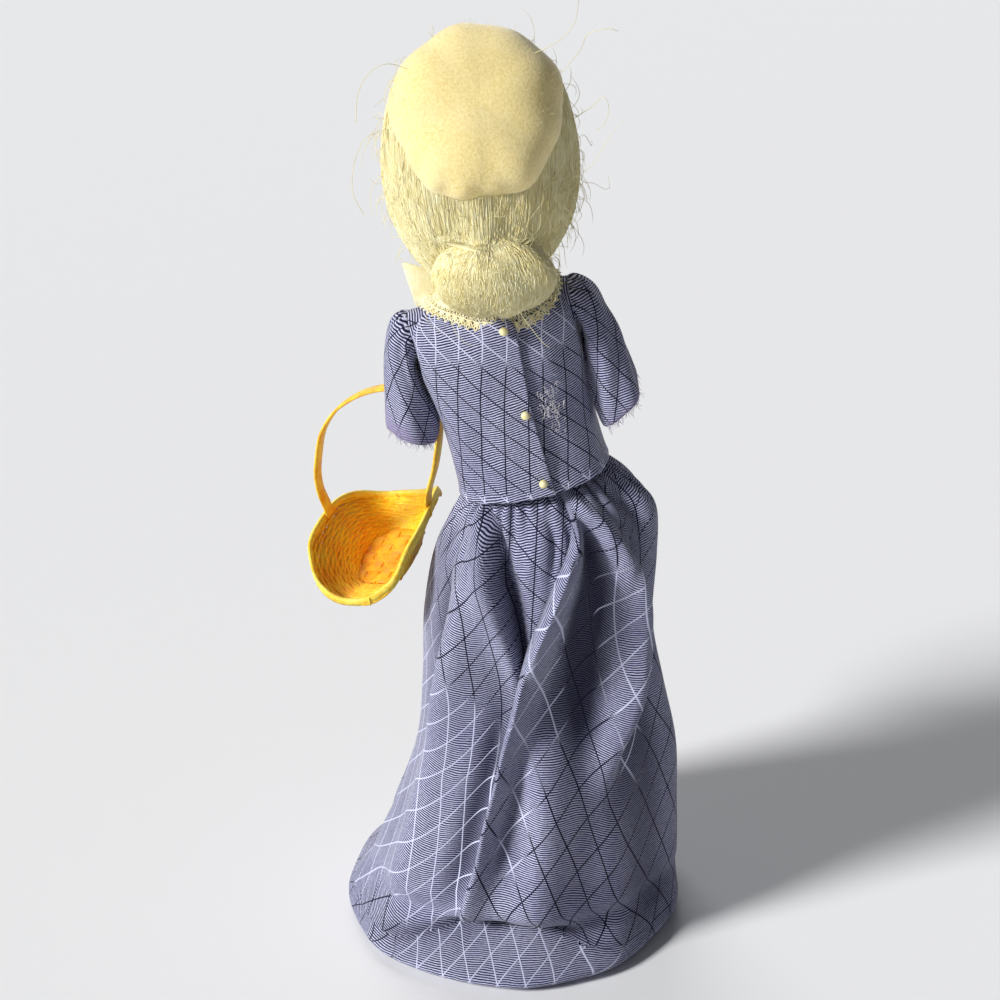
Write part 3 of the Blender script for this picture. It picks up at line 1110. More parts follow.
neck_wide = 8.2 + 0.9 * ((neck_rise - 22) / 20) ** 2 - 0.4
neck_points = np.stack([neck_wide * np.cos(neck_turn), neck_wide * np.sin(neck_turn) - 1, neck_rise], -1)
neck_faces = grid_faces(neck_rows, neck_columns, True) + head_rows * head_columns
head_faces = np.concatenate([grid_faces(head_rows, head_columns, True), neck_faces])
bare = np.zeros(neck_rise.size)
masks = {"lips": lips, "gap": mouth_gap, "lashes": lashes, "brows": brows, "blush": blush}
masks = {name: np.concatenate([mask.ravel(), bare]) for name, mask in masks.items()}
print("head is", round(2 * skull_half[2]), "mm from chin to crown")

# %% The head's paint
skin_paint, skin_tree, skin_shader = new_material("painted_skin", Roughness=0.55, Subsurface_Weight=0.08,
                                                 Subsurface_Scale=0.002)
skin_place = object_place(skin_tree)
mottle = ease(skin_tree, noise(skin_tree, skin_place, 90.0, 5.0), 0.3, 0.7)
colour = blend_colours(skin_tree, mottle, srgb(222, 172, 146), srgb(236, 192, 166))
for mask, paint, most in (
        ("blush", srgb(214, 112, 100), 0.55), ("lips", srgb(178, 74, 74), 0.9),
        ("gap", srgb(74, 26, 30), 0.95), ("brows", srgb(168, 138, 96), 0.85),
        ("lashes", srgb(66, 46, 36), 0.95)):
    share = sums(skin_tree, "MULTIPLY", painted_value(skin_tree, mask), most)
    colour = blend_colours(skin_tree, share, colour, paint)
skin_tree.links.new(colour, skin_shader.inputs["Base Color"])
raise_surface(skin_tree, skin_shader, noise(skin_tree, skin_place, 900.0), 0.00012, 0.4)
head_and_neck = np.concatenate([head_points.reshape(-1, 3), neck_points.reshape(-1, 3)])
head = new_piece("painted_head", head_place(head_and_neck), head_faces, skin_paint, values=masks)
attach(head, "figure")
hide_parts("head")
print("head is painted with", len(masks), "masks")

# %% [markdown]
# The hair is combed fibre over a padded core. The core carries the colour in the gaps. On it lie more than
# four thousand strands that start at the crown, part over the brow, hang over the sides and draw in towards
# the bun. Each is a path over the core's own surface, and the thread tree gives it its roundness. A short
# bridge of fibre joins the core to the bun, and flyaways are the same threads, let loose.

# %% Hair fibre and the core
hair_paint, hair_tree, hair_shader = new_material("hair_fibre", Roughness=0.45, Sheen_Weight=0.3,
                                                  Sheen_Roughness=0.35, Specular_IOR_Level=0.3)
fibre = stretched_place(hair_tree, object_place(hair_tree), (1, 1, 0.25))
fibre_noise = noise(hair_tree, fibre, 900.0, 3.0)
fibre_tone = ease(hair_tree, fibre_noise, 0.35, 0.65)
lock_tone = ease(hair_tree, noise(hair_tree, fibre, 120.0), 0.4, 0.7, 0, 0.4)
hair_colour = blend_colours(hair_tree, fibre_tone, srgb(236, 223, 164), srgb(250, 243, 198))
hair_colour = blend_colours(hair_tree, lock_tone, hair_colour, srgb(228, 211, 146))
hair_tree.links.new(hair_colour, hair_shader.inputs["Base Color"])
raise_surface(hair_tree, hair_shader, fibre_noise, 0.0003, 0.5)
# rows from the nape to the crown: height, half width, half depth, shift back
hair_rows = np.array([(8, 16.5, 12, 5), (16, 23.8, 20, 0.5), (28, 30, 26, -2), (42, 32.5, 28, -4),
                      (56, 31.7, 28, -5), (71, 28, 25, -6), (81, 19.5, 18, -6.5), (86, 6, 5, -6.5)])


def hair_surface(angle, place, out=0.0):
    row = through_rows(hair_rows, np.clip(place, 0, 7))
    lump_size = np.interp(place, (0, 1.5, 5, 6.6), (0.6, 1, 0.7, 0))
    lump = 0.7 * np.sin(9 * angle + 1.2 * np.sin(4 * angle)) * lump_size
    lump = lump + 2.6 * np.exp(-((apart(angle, 95) / 44) ** 2) - ((place - 1.9) / 1.0) ** 2)
    wide = np.maximum(row[..., 1] - 1.2 + lump + out, 0.3)
    deep = np.maximum(row[..., 2] - 1.2 + lump + out, 0.3)
    rise = row[..., 0] + out * np.interp(place, (5, 7), (0, 1))
    return np.stack([wide * np.cos(angle), row[..., 3] + deep * np.sin(angle), rise], -1)


# the face shows through an arch in the core: its half width, its height, and the height at which it starts
arch_half, arch_tall, arch_foot = 17, 25, 40
core_turn, core_place = np.meshgrid(np.linspace(0, 2 * math.pi, 145), np.linspace(0, 7, 71))
core_local = hair_surface(core_turn, core_place, -0.3)
core_faces = grid_faces(71, 145)
middles = core_local.reshape(-1, 3)[core_faces].mean(1)
face_arch = np.hypot(middles[:, 0] / arch_half, np.maximum(middles[:, 2] - arch_foot, 0) / arch_tall)
opening = (middles[:, 1] < -5) & (face_arch < 1)
hairline = np.intersect1d(core_faces[opening], core_faces[~opening])
edge_points = core_local.reshape(-1, 3)[hairline]
above = np.maximum(edge_points[:, 2] - arch_foot, 0)
onto_arch = 1 / np.maximum(np.hypot(edge_points[:, 0] / arch_half, above / arch_tall), 0.3)
at_sides = np.abs(edge_points[:, 0]) > 3
edge_points[:, 0] *= np.where(at_sides | (above > 5), onto_arch, 1)
edge_points[:, 2] += np.where(above > 0, above * (onto_arch - 1), 0)
core_local.reshape(-1, 3)[hairline] = edge_points
hair_core = new_piece("hair_core", head_place(core_local), core_faces[~opening], hair_paint)
thicken(hair_core, 2.0)

bun_half = np.array([20.2, 12.3, 14.4])
bun_middle = np.array([-3.2, 22, 16.5])


def bun_surface(longitude, latitude, out=0.0):
    """The ball's poles are at top and bottom; longitude 90 degrees is straight behind."""
    dip = 1 + 0.035 * np.sin(5 * longitude + 2 * latitude)
    flat = np.cos(latitude)
    shape = np.stack([flat * np.cos(longitude), flat * np.sin(longitude),
                      np.sin(latitude) + 0 * longitude], -1)
    return bun_middle + shape * (bun_half - 0.7 + np.asarray(out)[..., None]) * dip[..., None]


print("hair core has", len(hair_core.data.polygons), "faces and an arch", 2 * arch_half, "mm wide")

# %% Combed strands
dice = np.random.default_rng(5)
strands, strand_girths = [], []
tapered = np.array([0.5, 0.9, 1, 1, 1, 0.85, 0.4])
share = np.linspace(0, 1, 7)
combed_back, combed_aside, over_the_bun, at_hairline = 2600, 800, 900, 320
for number in range(combed_back + combed_aside):
    if number < combed_back:
        start = math.radians(dice.uniform(-58, 238))
        high, low = dice.uniform(3.4, 6.6), dice.uniform(0.1, 1.6)
        draw = dice.uniform(0.4, 0.75)
        finish = math.pi / 2 + (start - math.pi / 2) * draw
        turn = start + (finish - start) * share**1.8
        place = high + (low - high) * share
    else:
        side = dice.choice([-1, 1])
        start = math.radians(270) + side * math.radians(dice.uniform(1, 22))
        finish = math.radians(270) + side * math.radians(dice.uniform(58, 112))
        turn = start + (finish - start) * np.sin(share * math.pi / 2) ** 0.9
        place = dice.uniform(6.1, 6.7) + (dice.uniform(0.8, 2.6) - 6.4) * share**1.5
        clear = np.radians(270 + side * np.interp(place, (2.2, 4.2, 5.1, 6), (42, 42, 36, 0)))
        turn = np.maximum(turn, clear) if side > 0 else np.minimum(turn, clear)
    swing = dice.uniform(0.004, 0.03) * np.sin(share * dice.uniform(4, 11) + dice.uniform(0, 6))
    lift = dice.uniform(-0.2, 0.15) + 0.08 * np.sin(share * dice.uniform(3, 9) + dice.uniform(0, 6))
    strands.append(head_place(hair_surface(turn + swing, place, lift)))
    strand_girths.append(dice.uniform(0.12, 0.22) * tapered)
for _ in range(over_the_bun):
    start = math.radians(dice.uniform(62, 118))
    lift = dice.uniform(-0.1, 0.2)
    above = np.array([2.1 + dice.uniform(0.4, 1.3), 2.1])
    combed = hair_surface(start + 0.1 * dice.normal() * np.array([1, 0]), above, lift)
    over_bun = math.pi / 2 + (start - math.pi / 2) * np.linspace(1, dice.uniform(0.7, 1.3), 4)
    over_bun = over_bun + 0.1 * np.linspace(0, 1, 4) * dice.normal()
    down_bun = bun_surface(over_bun, 0.95 - np.linspace(0, 1, 4) * dice.uniform(0.4, 1.6), lift)
    strands.append(head_place(np.concatenate([combed, [(combed[1] + down_bun[0]) / 2], down_bun])))
    strand_girths.append(dice.uniform(0.12, 0.2) * tapered)
for _ in range(at_hairline):
    side = dice.choice([-1, 1])
    bow = np.radians(dice.uniform(45, 89) + (dice.uniform(-78, -25) - 66) * share)
    size = dice.uniform(0.97, 1.13)
    across = arch_half * size * np.cos(np.maximum(bow, 0))
    place = np.interp(arch_foot + arch_tall * size * np.sin(bow), hair_rows[:, 0], np.arange(8.0))
    turn = -np.arccos(np.clip(side * across / through_rows(hair_rows, place)[:, 1], -0.98, 0.98))
    strands.append(head_place(hair_surface(turn, place, dice.uniform(-0.3, 0.3))))
    strand_girths.append(dice.uniform(0.14, 0.22) * tapered)
bridge_turn, bridge_share = np.meshgrid(np.radians(np.linspace(44, 146, 40)), np.linspace(0, 1, 9))
bridge_top = hair_surface(bridge_turn, np.full(bridge_turn.shape, 2.1), -0.35)
bridge_foot = bun_surface(bridge_turn, np.full(bridge_turn.shape, 0.95), -0.3)
bridge_points = bridge_top + (bridge_foot - bridge_top) * bridge_share[..., None]
hair_bridge = new_piece("hair_bridge", head_place(bridge_points), grid_faces(9, 40), hair_paint)
thicken(hair_bridge, 1.0, 1.0)
hair_strands = threads("hair_strands", strands, strand_girths, hair_paint, sides=3)
for made in (hair_core, hair_bridge, hair_strands):
    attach(made, "figure")
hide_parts("hair")
print("hair has", len(strands), "combed strands")

# %% [markdown]
# The bun is a soft roll at the nape. Its strands come over the top, spread round it and tuck in underneath,
# so each one is a meridian of a squat ball, with a little sideways sway.

# %% The bun
bun_long, bun_lat = np.meshgrid(full_turn(72), np.linspace(-1.56, 1.56, 40))
bun_points = head_place(bun_surface(bun_long, bun_lat, -0.15))
bun_core = new_piece("bun_core", bun_points, grid_faces(40, 72, True), hair_paint)
dice = np.random.default_rng(8)
bun_paths, bun_girths = [], []
for _ in range(2000):
    longitude = math.radians(dice.uniform(-30, 210))
    top, bottom = dice.uniform(0.7, 1.5), -dice.uniform(0.5, 1.45)
    latitude = top + (bottom - top) * share
    sway = dice.uniform(-0.2, 0.2) * np.sin(math.pi * share)
    sway = sway + 0.03 * np.sin(share * dice.uniform(5, 12) + dice.uniform(0, 6))
    lift = dice.uniform(-0.15, 0.2) + 0.08 * np.sin(share * dice.uniform(3, 9) + dice.uniform(0, 6))
    bun_paths.append(head_place(bun_surface(longitude + sway, latitude, lift)))
    bun_girths.append(dice.uniform(0.11, 0.19) * tapered)
bun_strands = threads("bun_strands", bun_paths, bun_girths, hair_paint, sides=3)
for made in (bun_core, bun_strands):
    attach(made, "figure")
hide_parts("hair_bun")
print("bun has", len(bun_paths), "strands")

# %% Flyaways
dice = np.random.default_rng(12)
loose, loose_girths = [], []
on_head, on_bun = 330, 100
share = np.linspace(0, 1, 9)
loose_girth = 0.095 * np.array([1, 1, 1, 1, 1, 0.9, 0.8, 0.65, 0.4])
for number in range(on_head + on_bun):
    if number < on_head:
        surface = hair_surface
        turn = math.radians(dice.uniform(-45, 225))
        row = dice.uniform(0.6, 6.2)
        row = min(row, 2.6 + 0.8 * dice.uniform()) if math.sin(turn) > 0.25 else row
    else:
        surface = bun_surface
        turn, row = math.radians(dice.uniform(-20, 200)), dice.uniform(-0.7, 0.9)
    foot, further = (surface(np.array(turn), np.array(row), out) for out in (0.0, 6.0))
    away = unit(further - foot)
    tangent = unit(np.cross(away, dice.normal(0, 1, 3)) + np.array([0, 0, -0.8]))
    tangent = unit(tangent - 0.8 * away * (tangent @ away))
    aside = np.cross(tangent, away)
    length = (dice.gamma(2.2, 2.6) + 3) * (1 if number < on_head else 0.5)
    bulge = dice.uniform(0.12, 0.42) * np.sin(math.pi * share * dice.uniform(0.5, 0.95))
    sway = dice.uniform(0.03, 0.12) * np.sin(share * dice.uniform(3, 11) + dice.uniform(0, 6))
    sway = sway + dice.normal(0, 0.25) * share**2
    drift_path = share[:, None] * tangent + bulge[:, None] * away + sway[:, None] * aside
    loose.append(head_place(foot + length * drift_path))
    loose_girths.append(loose_girth)
# the longest stray hairs, each through a few points in the head's own place
long_strays = [
    [(-18, 2, 83), (-26, 6, 88), (-31, 9, 94), (-32.5, 10, 99), (-33, 10, 104), (-32, 10, 109)],
    [(-27, 6, 78), (-33, 9, 86), (-35, 10, 91), (-38, 11, 93), (-42, 12, 94), (-45, 12, 93)],
    [(-31, 4, 62), (-36, 6, 66), (-40, 8, 70), (-41.5, 8, 66), (-40, 8, 61), (-37, 8, 59)],
    [(20, 4, 80), (27, 8, 84), (33, 10, 82), (37, 11, 75), (38, 11, 66)],
    [(29, 2, 60), (36, 5, 58), (40, 6, 50), (41, 7, 41), (38, 7, 33)]]
for stray in long_strays:
    loose.append(head_place(through_rows(stray, np.linspace(0, len(stray) - 1, 24))))
    loose_girths.append(0.11)
flyaways = threads("hair_flyaways", loose, loose_girths, hair_paint, sides=3)
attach(flyaways, "figure")
print("flyaways:", len(loose), "threads")

# %% [markdown]
# The cap is a disc of soft felt, pressed over the back of the head and tucked in at its edge. A dome from a
# rule comes close, and low dents and a few puckers by the edge keep it from looking turned on a lathe. Felt
# has no weave: its surface is a mat of short fibres, so the finish is noise at two scales and the dome
# carries real fuzz.

# %% The cap's felt and form
cap_radius, cap_dome = 27.6, 14.0
cap_middle = np.array([0, 6, 66.5])
cap_axis = np.array([0, 0.788, 0.616])
cap_up = np.array([0, -0.616, 0.788])
cap_paint, cap_tree, cap_shader = new_material("cap_felt", Roughness=0.95, Sheen_Weight=0.5,
                                               Sheen_Roughness=0.5)
cap_place = object_place(cap_tree)
mat_noise, stain = noise(cap_tree, cap_place, 1100.0, 4.0), noise(cap_tree, cap_place, 70.0, 3.0)
mat_tone, stain_tone = ease(cap_tree, mat_noise, 0.3, 0.7), ease(cap_tree, stain, 0.35, 0.7, 0, 0.35)
cap_colour = blend_colours(cap_tree, mat_tone, srgb(236, 212, 138), srgb(249, 230, 164))
cap_colour = blend_colours(cap_tree, stain_tone, cap_colour, srgb(248, 232, 178))
cap_tree.links.new(cap_colour, cap_shader.inputs["Base Color"])
lumps = sums(cap_tree, "ADD", mat_noise, sums(cap_tree, "MULTIPLY", stain, 0.8))
raise_surface(cap_tree, cap_shader, lumps, 0.0003, 0.5)


def cap_surface(turn, rise, out=0.0):
    """A dome: rise 0 is the tucked edge and 1 the top; turn 90 degrees is the side nearest the crown."""
    bow = rise * math.pi / 2
    edge = 1 + 0.018 * np.sin(5 * turn + 0.6) + 0.014 * np.sin(9 * turn + 2.1)
    edge = edge - 0.02 * np.clip(-np.sin(turn), 0, 1) ** 6
    edge = edge * (1 - 0.055 * np.abs(np.cos(turn)) * (1 - np.sin(turn)))
    for lobe in (243, 297):
        edge = edge + 0.07 * np.exp(-((apart(turn, lobe) / 17) ** 2))
    radius = (cap_radius * np.cos(bow) ** 0.8) * edge
    height = cap_dome * np.sin(bow) ** 0.9 - 1.2
    height = height - 4.4 * np.clip(np.sin(turn), 0, 1) ** 2 * (1 - rise) ** 2
    dent = 0.5 * waves(7, 15, [(1, 5), (2, 6)], turn, rise) * np.sin(bow) * np.cos(bow) * 2
    pulled = np.exp(-apart(turn, 300) ** 2 / 60**2)
    pucker = 0.55 * np.exp(-((rise - 0.16) / 0.16) ** 2) * np.sin(17 * turn) * pulled
    height = height + (dent + pucker + out) * np.sin(bow)
    radius = radius + (dent + pucker + out) * np.cos(bow)
    across = np.cos(turn)[..., None] * np.array([1.0, 0, 0]) + np.sin(turn)[..., None] * cap_up
    return cap_middle + radius[..., None] * across + height[..., None] * cap_axis


print("cap is", 2 * cap_radius, "mm across before its edge is tucked")

# %% The cap and its fuzz
cap_rows, cap_columns = 56, 160
cap_turn, cap_rise = np.meshgrid(full_turn(cap_columns), np.linspace(0, 0.995, cap_rows))
cap_top = cap_surface(np.array([0.0]), np.array([1.0]))
cap_points = np.concatenate([cap_surface(cap_turn, cap_rise).reshape(-1, 3), cap_top])
top_ring = ((cap_rows - 1) * cap_columns + np.arange(cap_columns)).tolist()
cap_cells = grid_faces(cap_rows, cap_columns, True).tolist()
cap_cells += [[a, b, cap_rows * cap_columns] for a, b in zip(top_ring, top_ring[1:] + top_ring[:1])]
felt_cap = thicken(new_piece("felt_cap", head_place(cap_points), cap_cells, cap_paint), 1.5)
dice = np.random.default_rng(19)
fuzz = []
for _ in range(2600):
    turn, rise = dice.uniform(0, 2 * math.pi), math.sqrt(dice.uniform(0, 0.98))
    rise = 1 - rise if dice.uniform() < 0.8 else dice.uniform(0, 0.3)
    foot = cap_surface(np.array([turn]), np.array([rise]))[0]
    lean = dice.normal(0, 1, 3)
    away = unit(cap_surface(np.array([turn]), np.array([rise]), 4.0)[0] - foot)
    length = dice.uniform(0.5, 1.7)
    bend, tip = 0.35 * away + 0.3 * lean, 0.5 * away + 0.75 * lean
    fuzz.append(head_place(np.stack([foot, foot + length * bend, foot + length * tip])))
cap_fuzz = threads("cap_fuzz", fuzz, [np.array([0.07, 0.06, 0.03])] * len(fuzz), cap_paint, sides=3)
for made in (felt_cap, cap_fuzz):
    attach(made, "figure")
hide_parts("cap")

# %% [markdown]
# Under the sleeves the arms are wire, wound with cotton tape. The winding shows as a shallow spiral step,
# so the tube's radius follows a saw tooth along its length and round its girth. The hands are small and
# smooth, as if cast: a palm, four fingers and a thumb are laid into each other as rounded rods and melted
# together by a voxel remesh.

# %% Lofted forms and woven tape
cotton_paint, cotton_tree, cotton_shader, _ = noise_paint(
    "cotton_tape", 160.0, 4.0, srgb(206, 194, 166), srgb(232, 224, 204), (0.3, 0.7), Roughness=0.92,
    Sheen_Weight=0.3)
twill = {"Vector": object_place(cotton_tree), "Scale": 420.0, "Distortion": 1.5}
cotton_grain = add_node(cotton_tree, "ShaderNodeTexWave", twill, wave_type="BANDS",
                        bands_direction="DIAGONAL")
raise_surface(cotton_tree, cotton_shader, cotton_grain.outputs["Fac"], 0.00015, 0.5)


def lofted(name, rings, material):
    """A closed skin through rings with the same number of points, with a middle point closing each end."""
    rings = np.asarray(rings, float)
    rows, count = rings.shape[:2]
    points = np.concatenate([rings.reshape(-1, 3), rings[0].mean(0)[None], rings[-1].mean(0)[None]])
    faces = grid_faces(rows, count, True).tolist()
    last, closing = (rows - 1) * count, rows * count
    for j in range(count):
        k = (j + 1) % count
        faces += [[k, j, closing], [last + j, last + k, closing + 1]]
    return new_piece(name, points, faces, material)


def tube_faces(rows, count):
    """Faces of a closed grid whose last row also joins its first, as on a ring."""
    here = np.arange(count)
    beside, last = (here + 1) % count, (rows - 1) * count
    return np.concatenate([grid_faces(rows, count, True),
                           np.stack([last + here, last + beside, beside, here], -1)])


def oval(turn, half_x, half_y, height):
    """Points of a level oval."""
    return np.stack([half_x * np.cos(turn), half_y * np.sin(turn), np.full(len(turn), height)], -1)


def rings_along(path, radius, sides, upright=(0.3, 0.2, 1.0)):
    """Circles square to a path, without twist. The radius may differ from point to point."""
    path = np.asarray(path, float)
    along = unit(np.gradient(path, axis=0))
    first = np.cross(along[0], upright)
    turn = full_turn(sides)
    rings = []
    for centre, way, wide in zip(path, along, radius):
        first = unit(first - way * (first @ way))
        second = np.cross(way, first)
        across, up = (wide * np.cos(turn))[:, None], (wide * np.sin(turn))[:, None]
        rings.append(centre + across * first + up * second)
    return np.array(rings)


print("cotton tape's finish has", len(cotton_tree.nodes), "nodes")

# %% Arms and hands
# each forearm's way from the elbow: degrees inwards, degrees up
forearms = {"left": (11, 0), "right": (16, 8)}
for side, name in ((1, "left"), (-1, "right")):
    elbow = elbows[name]
    yaw, pitch = np.radians(forearms[name])
    forward = unit([-side * math.sin(yaw), -math.cos(yaw), math.tan(pitch)])
    wrist = elbow + 36 * forward
    upper_middle = (side * ((28.2 + abs(elbow[0])) / 2 + 1.9), 1.6, (shoulder + elbow[2]) / 2)
    knots = np.array([(side * 17.4, 0, shoulder), (side * 25.6, 0, shoulder), (side * 30.6, 0.2, 58),
                      upper_middle, elbow + [0, 0, 7], elbow + 1.5 * forward + [0, 0, 1],
                      elbow + 9 * forward, wrist])
    path = through_rows(knots, np.linspace(0, 7, 150))
    walk = running(step_lengths(path))
    girth_here = np.interp(walk / walk[-1], (0, 0.09, 0.3, 0.62, 1), (2.9, 2.9, 3.6, 3.6, 2.8))
    turn = np.linspace(0, 1, 24, endpoint=False)
    step = ((walk[:, None] / 4.2 + turn[None, :]) % 1) - 0.5
    arm_rings = rings_along(path, girth_here[:, None] - 0.12 + 0.22 * step, 24)
    arm = lofted(name + "_wound_arm", chest_place(arm_rings), cotton_paint)
    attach(arm, "arm_" + name)
    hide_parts(name + "_arm")

    across = unit(np.cross(forward, [0, 0, 1.0]))
    upward = np.cross(across, forward)
    centre = wrist + 6.85 * forward
    # rods of the hand: both ends, as far along, across and up, and the radius at each end
    rods = [((-7.4, 0, 0), (-3.5, 0, 0), 2.3, 2.5), ((-4.2, 0, 1.2), (0.6, 0, 1.7), 2.2, 1.9),
            ((-4.2, 0, -1.0), (0.6, 0, -1.7), 2.2, 1.9)]
    for lift, reach in ((2.75, 6.0), (0.95, 6.9), (-0.85, 6.7), (-2.6, 5.6)):
        rods.append(((0, 0, lift * 0.9), (3.6, -0.3 * side, lift), 1.2, 1.12))
        rods.append(((3.6, -0.3 * side, lift), (reach - 0.6, -1.3 * side, lift * 0.92), 1.12, 0.92))
    rods.append(((-3.8, -0.5 * side, 2.2), (-0.8, -1.1 * side, 4.2), 1.5, 1.25))
    rods.append(((-0.8, -1.1 * side, 4.2), (2.4, -1.6 * side, 4.6), 1.25, 0.95))
    points, faces, start = [], [], 0
    rod_rows, rod_sides = 13, 12
    t = np.linspace(0, math.pi, rod_rows)
    for first, last, wide, narrow in rods:
        first, last = np.array(first, float), np.array(last, float)
        way = unit(last - first)
        span = np.linalg.norm(last - first)
        along = np.where(t < math.pi / 2, -wide * np.cos(t), span - narrow * np.cos(t))
        radii = np.maximum(np.where(t < math.pi / 2, wide, narrow) * np.sin(t), 0.05)
        rod_path = first + along[:, None] * way
        rings = rings_along(rod_path, radii[:, None] * np.ones(rod_sides), rod_sides, (0.1, 0.97, 0.2))
        points.append(rings.reshape(-1, 3))
        faces += (grid_faces(rod_rows, rod_sides, True) + start).tolist()
        faces.append(list(range(start + rod_sides - 1, start - 1, -1)))
        start += rod_rows * rod_sides
        faces.append(list(range(start - rod_sides, start)))
    points = np.concatenate(points)
    placed = centre + points[:, :1] * forward + points[:, 1:2] * across + points[:, 2:] * upward
    rough = new_piece("hand_rods", chest_place(placed), faces, skin_paint)
    melt = rough.modifiers.new("melt", "REMESH")
    melt.mode, melt.voxel_size = "VOXEL", 0.00034
    calm = rough.modifiers.new("calm", "SMOOTH")
    calm.factor, calm.iterations = 0.5, 6
    hand = baked(rough, name + "_cast_hand")
    hand_mesh = hand.data
    hand_mesh.materials.clear()
    hand_mesh.materials.append(skin_paint)
    hand_mesh.polygons.foreach_set("use_smooth", np.full(len(hand_mesh.polygons), True))
    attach(hand, "arm_" + name)
    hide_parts(name + "_hand")
    print(name, "arm is", round(walk[-1]), "mm long; its hand has", len(hand_mesh.polygons), "faces")

# %% [markdown]
# The basket is woven: flat stakes stand up from a floor of plain-woven splints, and thin round reeds go
# round in rows, in front of one stake and behind the next, the other way about in the next row. Reeds
# follow paths, so the thread tree sweeps them. Splints are flat strips with rounded edges. A kinked flat
# band lies on the edge, bound with fine cane.

# %% Dyed splint and reed
grain_group, given, result = new_group(
    "dyed_grain",
    [("Place", "NodeSocketVector", None), ("Fine", "NodeSocketFloat", 900.0),
     ("Deep Dye", "NodeSocketColor", srgb(206, 128, 24)),
     ("Bright Dye", "NodeSocketColor", srgb(244, 190, 66))],
    [("Color", "NodeSocketColor"), ("Height", "NodeSocketFloat"), ("Roughness", "NodeSocketFloat")])
fine_grain = noise(grain_group, given["Place"], given["Fine"], 4.0)
broad_dye = sums(grain_group, "MULTIPLY", noise(grain_group, given["Place"], 130.0), 0.45)
dye = sums(grain_group, "ADD", sums(grain_group, "MULTIPLY", fine_grain, 0.55), broad_dye)
dyed = blend_colours(grain_group, ease(grain_group, dye, 0.34, 0.64), given["Deep Dye"], given["Bright Dye"])
grain_group.links.new(dyed, result["Color"])
grain_group.links.new(fine_grain, result["Height"])
grain_group.links.new(ease(grain_group, fine_grain, 0.3, 0.7, 0.45, 0.7), result["Roughness"])


def dyed_wood(name, deep, bright, fine=900.0):
    material, tree, shader = new_material(name)
    values = {"Place": object_place(tree), "Fine": fine, "Deep Dye": deep, "Bright Dye": bright}
    wear_group(tree, shader, grain_group, values, 0.0003, 0.6)
    return material


reed_paint = dyed_wood("dyed_reed", srgb(250, 168, 4), srgb(255, 214, 40))
splint_paint = dyed_wood("dyed_splint", srgb(250, 152, 2), srgb(255, 186, 16), 500.0)
rim_paint = dyed_wood("dyed_rim", srgb(246, 194, 30), srgb(255, 230, 96), 700.0)
handle_paint = dyed_wood("dyed_handle", srgb(242, 170, 16), srgb(255, 220, 72), 420.0)
print("dyed grain group has", len(grain_group.nodes), "nodes")

# %% The basket's place and form
seat_reach, basket_yaw = 16, -21.4
left_yaw = math.radians(forearms["left"][0])
seat_step = np.array([math.sin(left_yaw) * seat_reach, math.cos(left_yaw) * seat_reach, 0])
basket_seat = chest_place(elbows["left"] - seat_step)
basket_middle = basket_seat + np.array([17.09, -0.3, -45.9])


def turn_matrix(axis, degrees):
    c, s = math.cos(math.radians(degrees)), math.sin(math.radians(degrees))
    i, j = {"x": (1, 2), "y": (2, 0), "z": (0, 1)}[axis]
    matrix = np.eye(3)
    matrix[i, i], matrix[j, j], matrix[i, j], matrix[j, i] = c, c, -s, s
    return matrix


basket_pose = turn_matrix("z", basket_yaw) @ turn_matrix("y", 11.1) @ turn_matrix("x", -12.3)
bowl_square = 2.8
floor_shift = -3.0


def in_basket(points):
    return np.asarray(points, float) @ basket_pose.T + basket_middle


def bowl_surface(angle, rise, inset=0.0, lift=0.0):
    """Points of the basket's wall, from its floor, rise 0, to its edge, rise 1, which dips at both ends."""
    c, s = np.cos(angle), np.sin(angle)
    share = 0.52 + 0.48 * np.clip(rise, 0, 1) ** 1.3
    edge = -11.6 * s * s + 2 * c * s
    ground = -17 + 0.12 * edge
    x = (20.3 * share - inset) * power(c, 2 / bowl_square)
    y = (30 * share - inset) * power(s, 2 / bowl_square) + floor_shift * (1 - rise)
    return np.stack([x, y, ground + (edge - ground) * rise + lift], -1)


def strips(name, lines, material):
    """Flat splints with rounded edges. Each has a path, the way across, half a width and half a thickness."""
    points, faces, start = [], [], 0
    for path, across, half, thin in lines:
        path = np.asarray(path, float)
        along = unit(np.gradient(path, axis=0))
        across = np.broadcast_to(across, path.shape)
        across = unit(across - along * (across * along).sum(1, keepdims=True))
        out = np.cross(across, along)
        half, thin = np.broadcast_to(half, (len(path),)), np.broadcast_to(thin, (len(path),))
        ring = [(-1, 0), (-0.8, -1), (0.8, -1), (1, 0), (0.8, 1), (-0.8, 1)]
        body = np.stack([path + (w * half)[:, None] * across + (t * thin)[:, None] * out
                         for w, t in ring], 1)
        points.append(body.reshape(-1, 3))
        faces += (grid_faces(len(path), 6, True) + start).tolist()
        last = start + 6 * (len(path) - 1)
        faces += [[start + k for k in range(5, -1, -1)], [last + k for k in range(6)]]
        start += 6 * len(path)
    return new_piece(name, np.concatenate(points), faces, material)


print("basket hangs at", basket_seat.round(1), "mm on the forearm")

# %% Reeds, stakes and floor
stake_count, reed_rows = 34, 21
dice = np.random.default_rng(41)
fine_turn = np.linspace(0, 2 * math.pi, 2881)
wall_walk = running(step_lengths(bowl_surface(fine_turn, 0.7 + 0 * fine_turn)))


def even_turn(shares):
    """Angles that lie evenly spaced along the basket's wall."""
    return np.interp(np.asarray(shares) % 1.0, wall_walk / wall_walk[-1], fine_turn)


def floor_height(y):
    return -17.1 - 1.2 * np.clip((y - floor_shift) / 16, -1, 1) ** 2


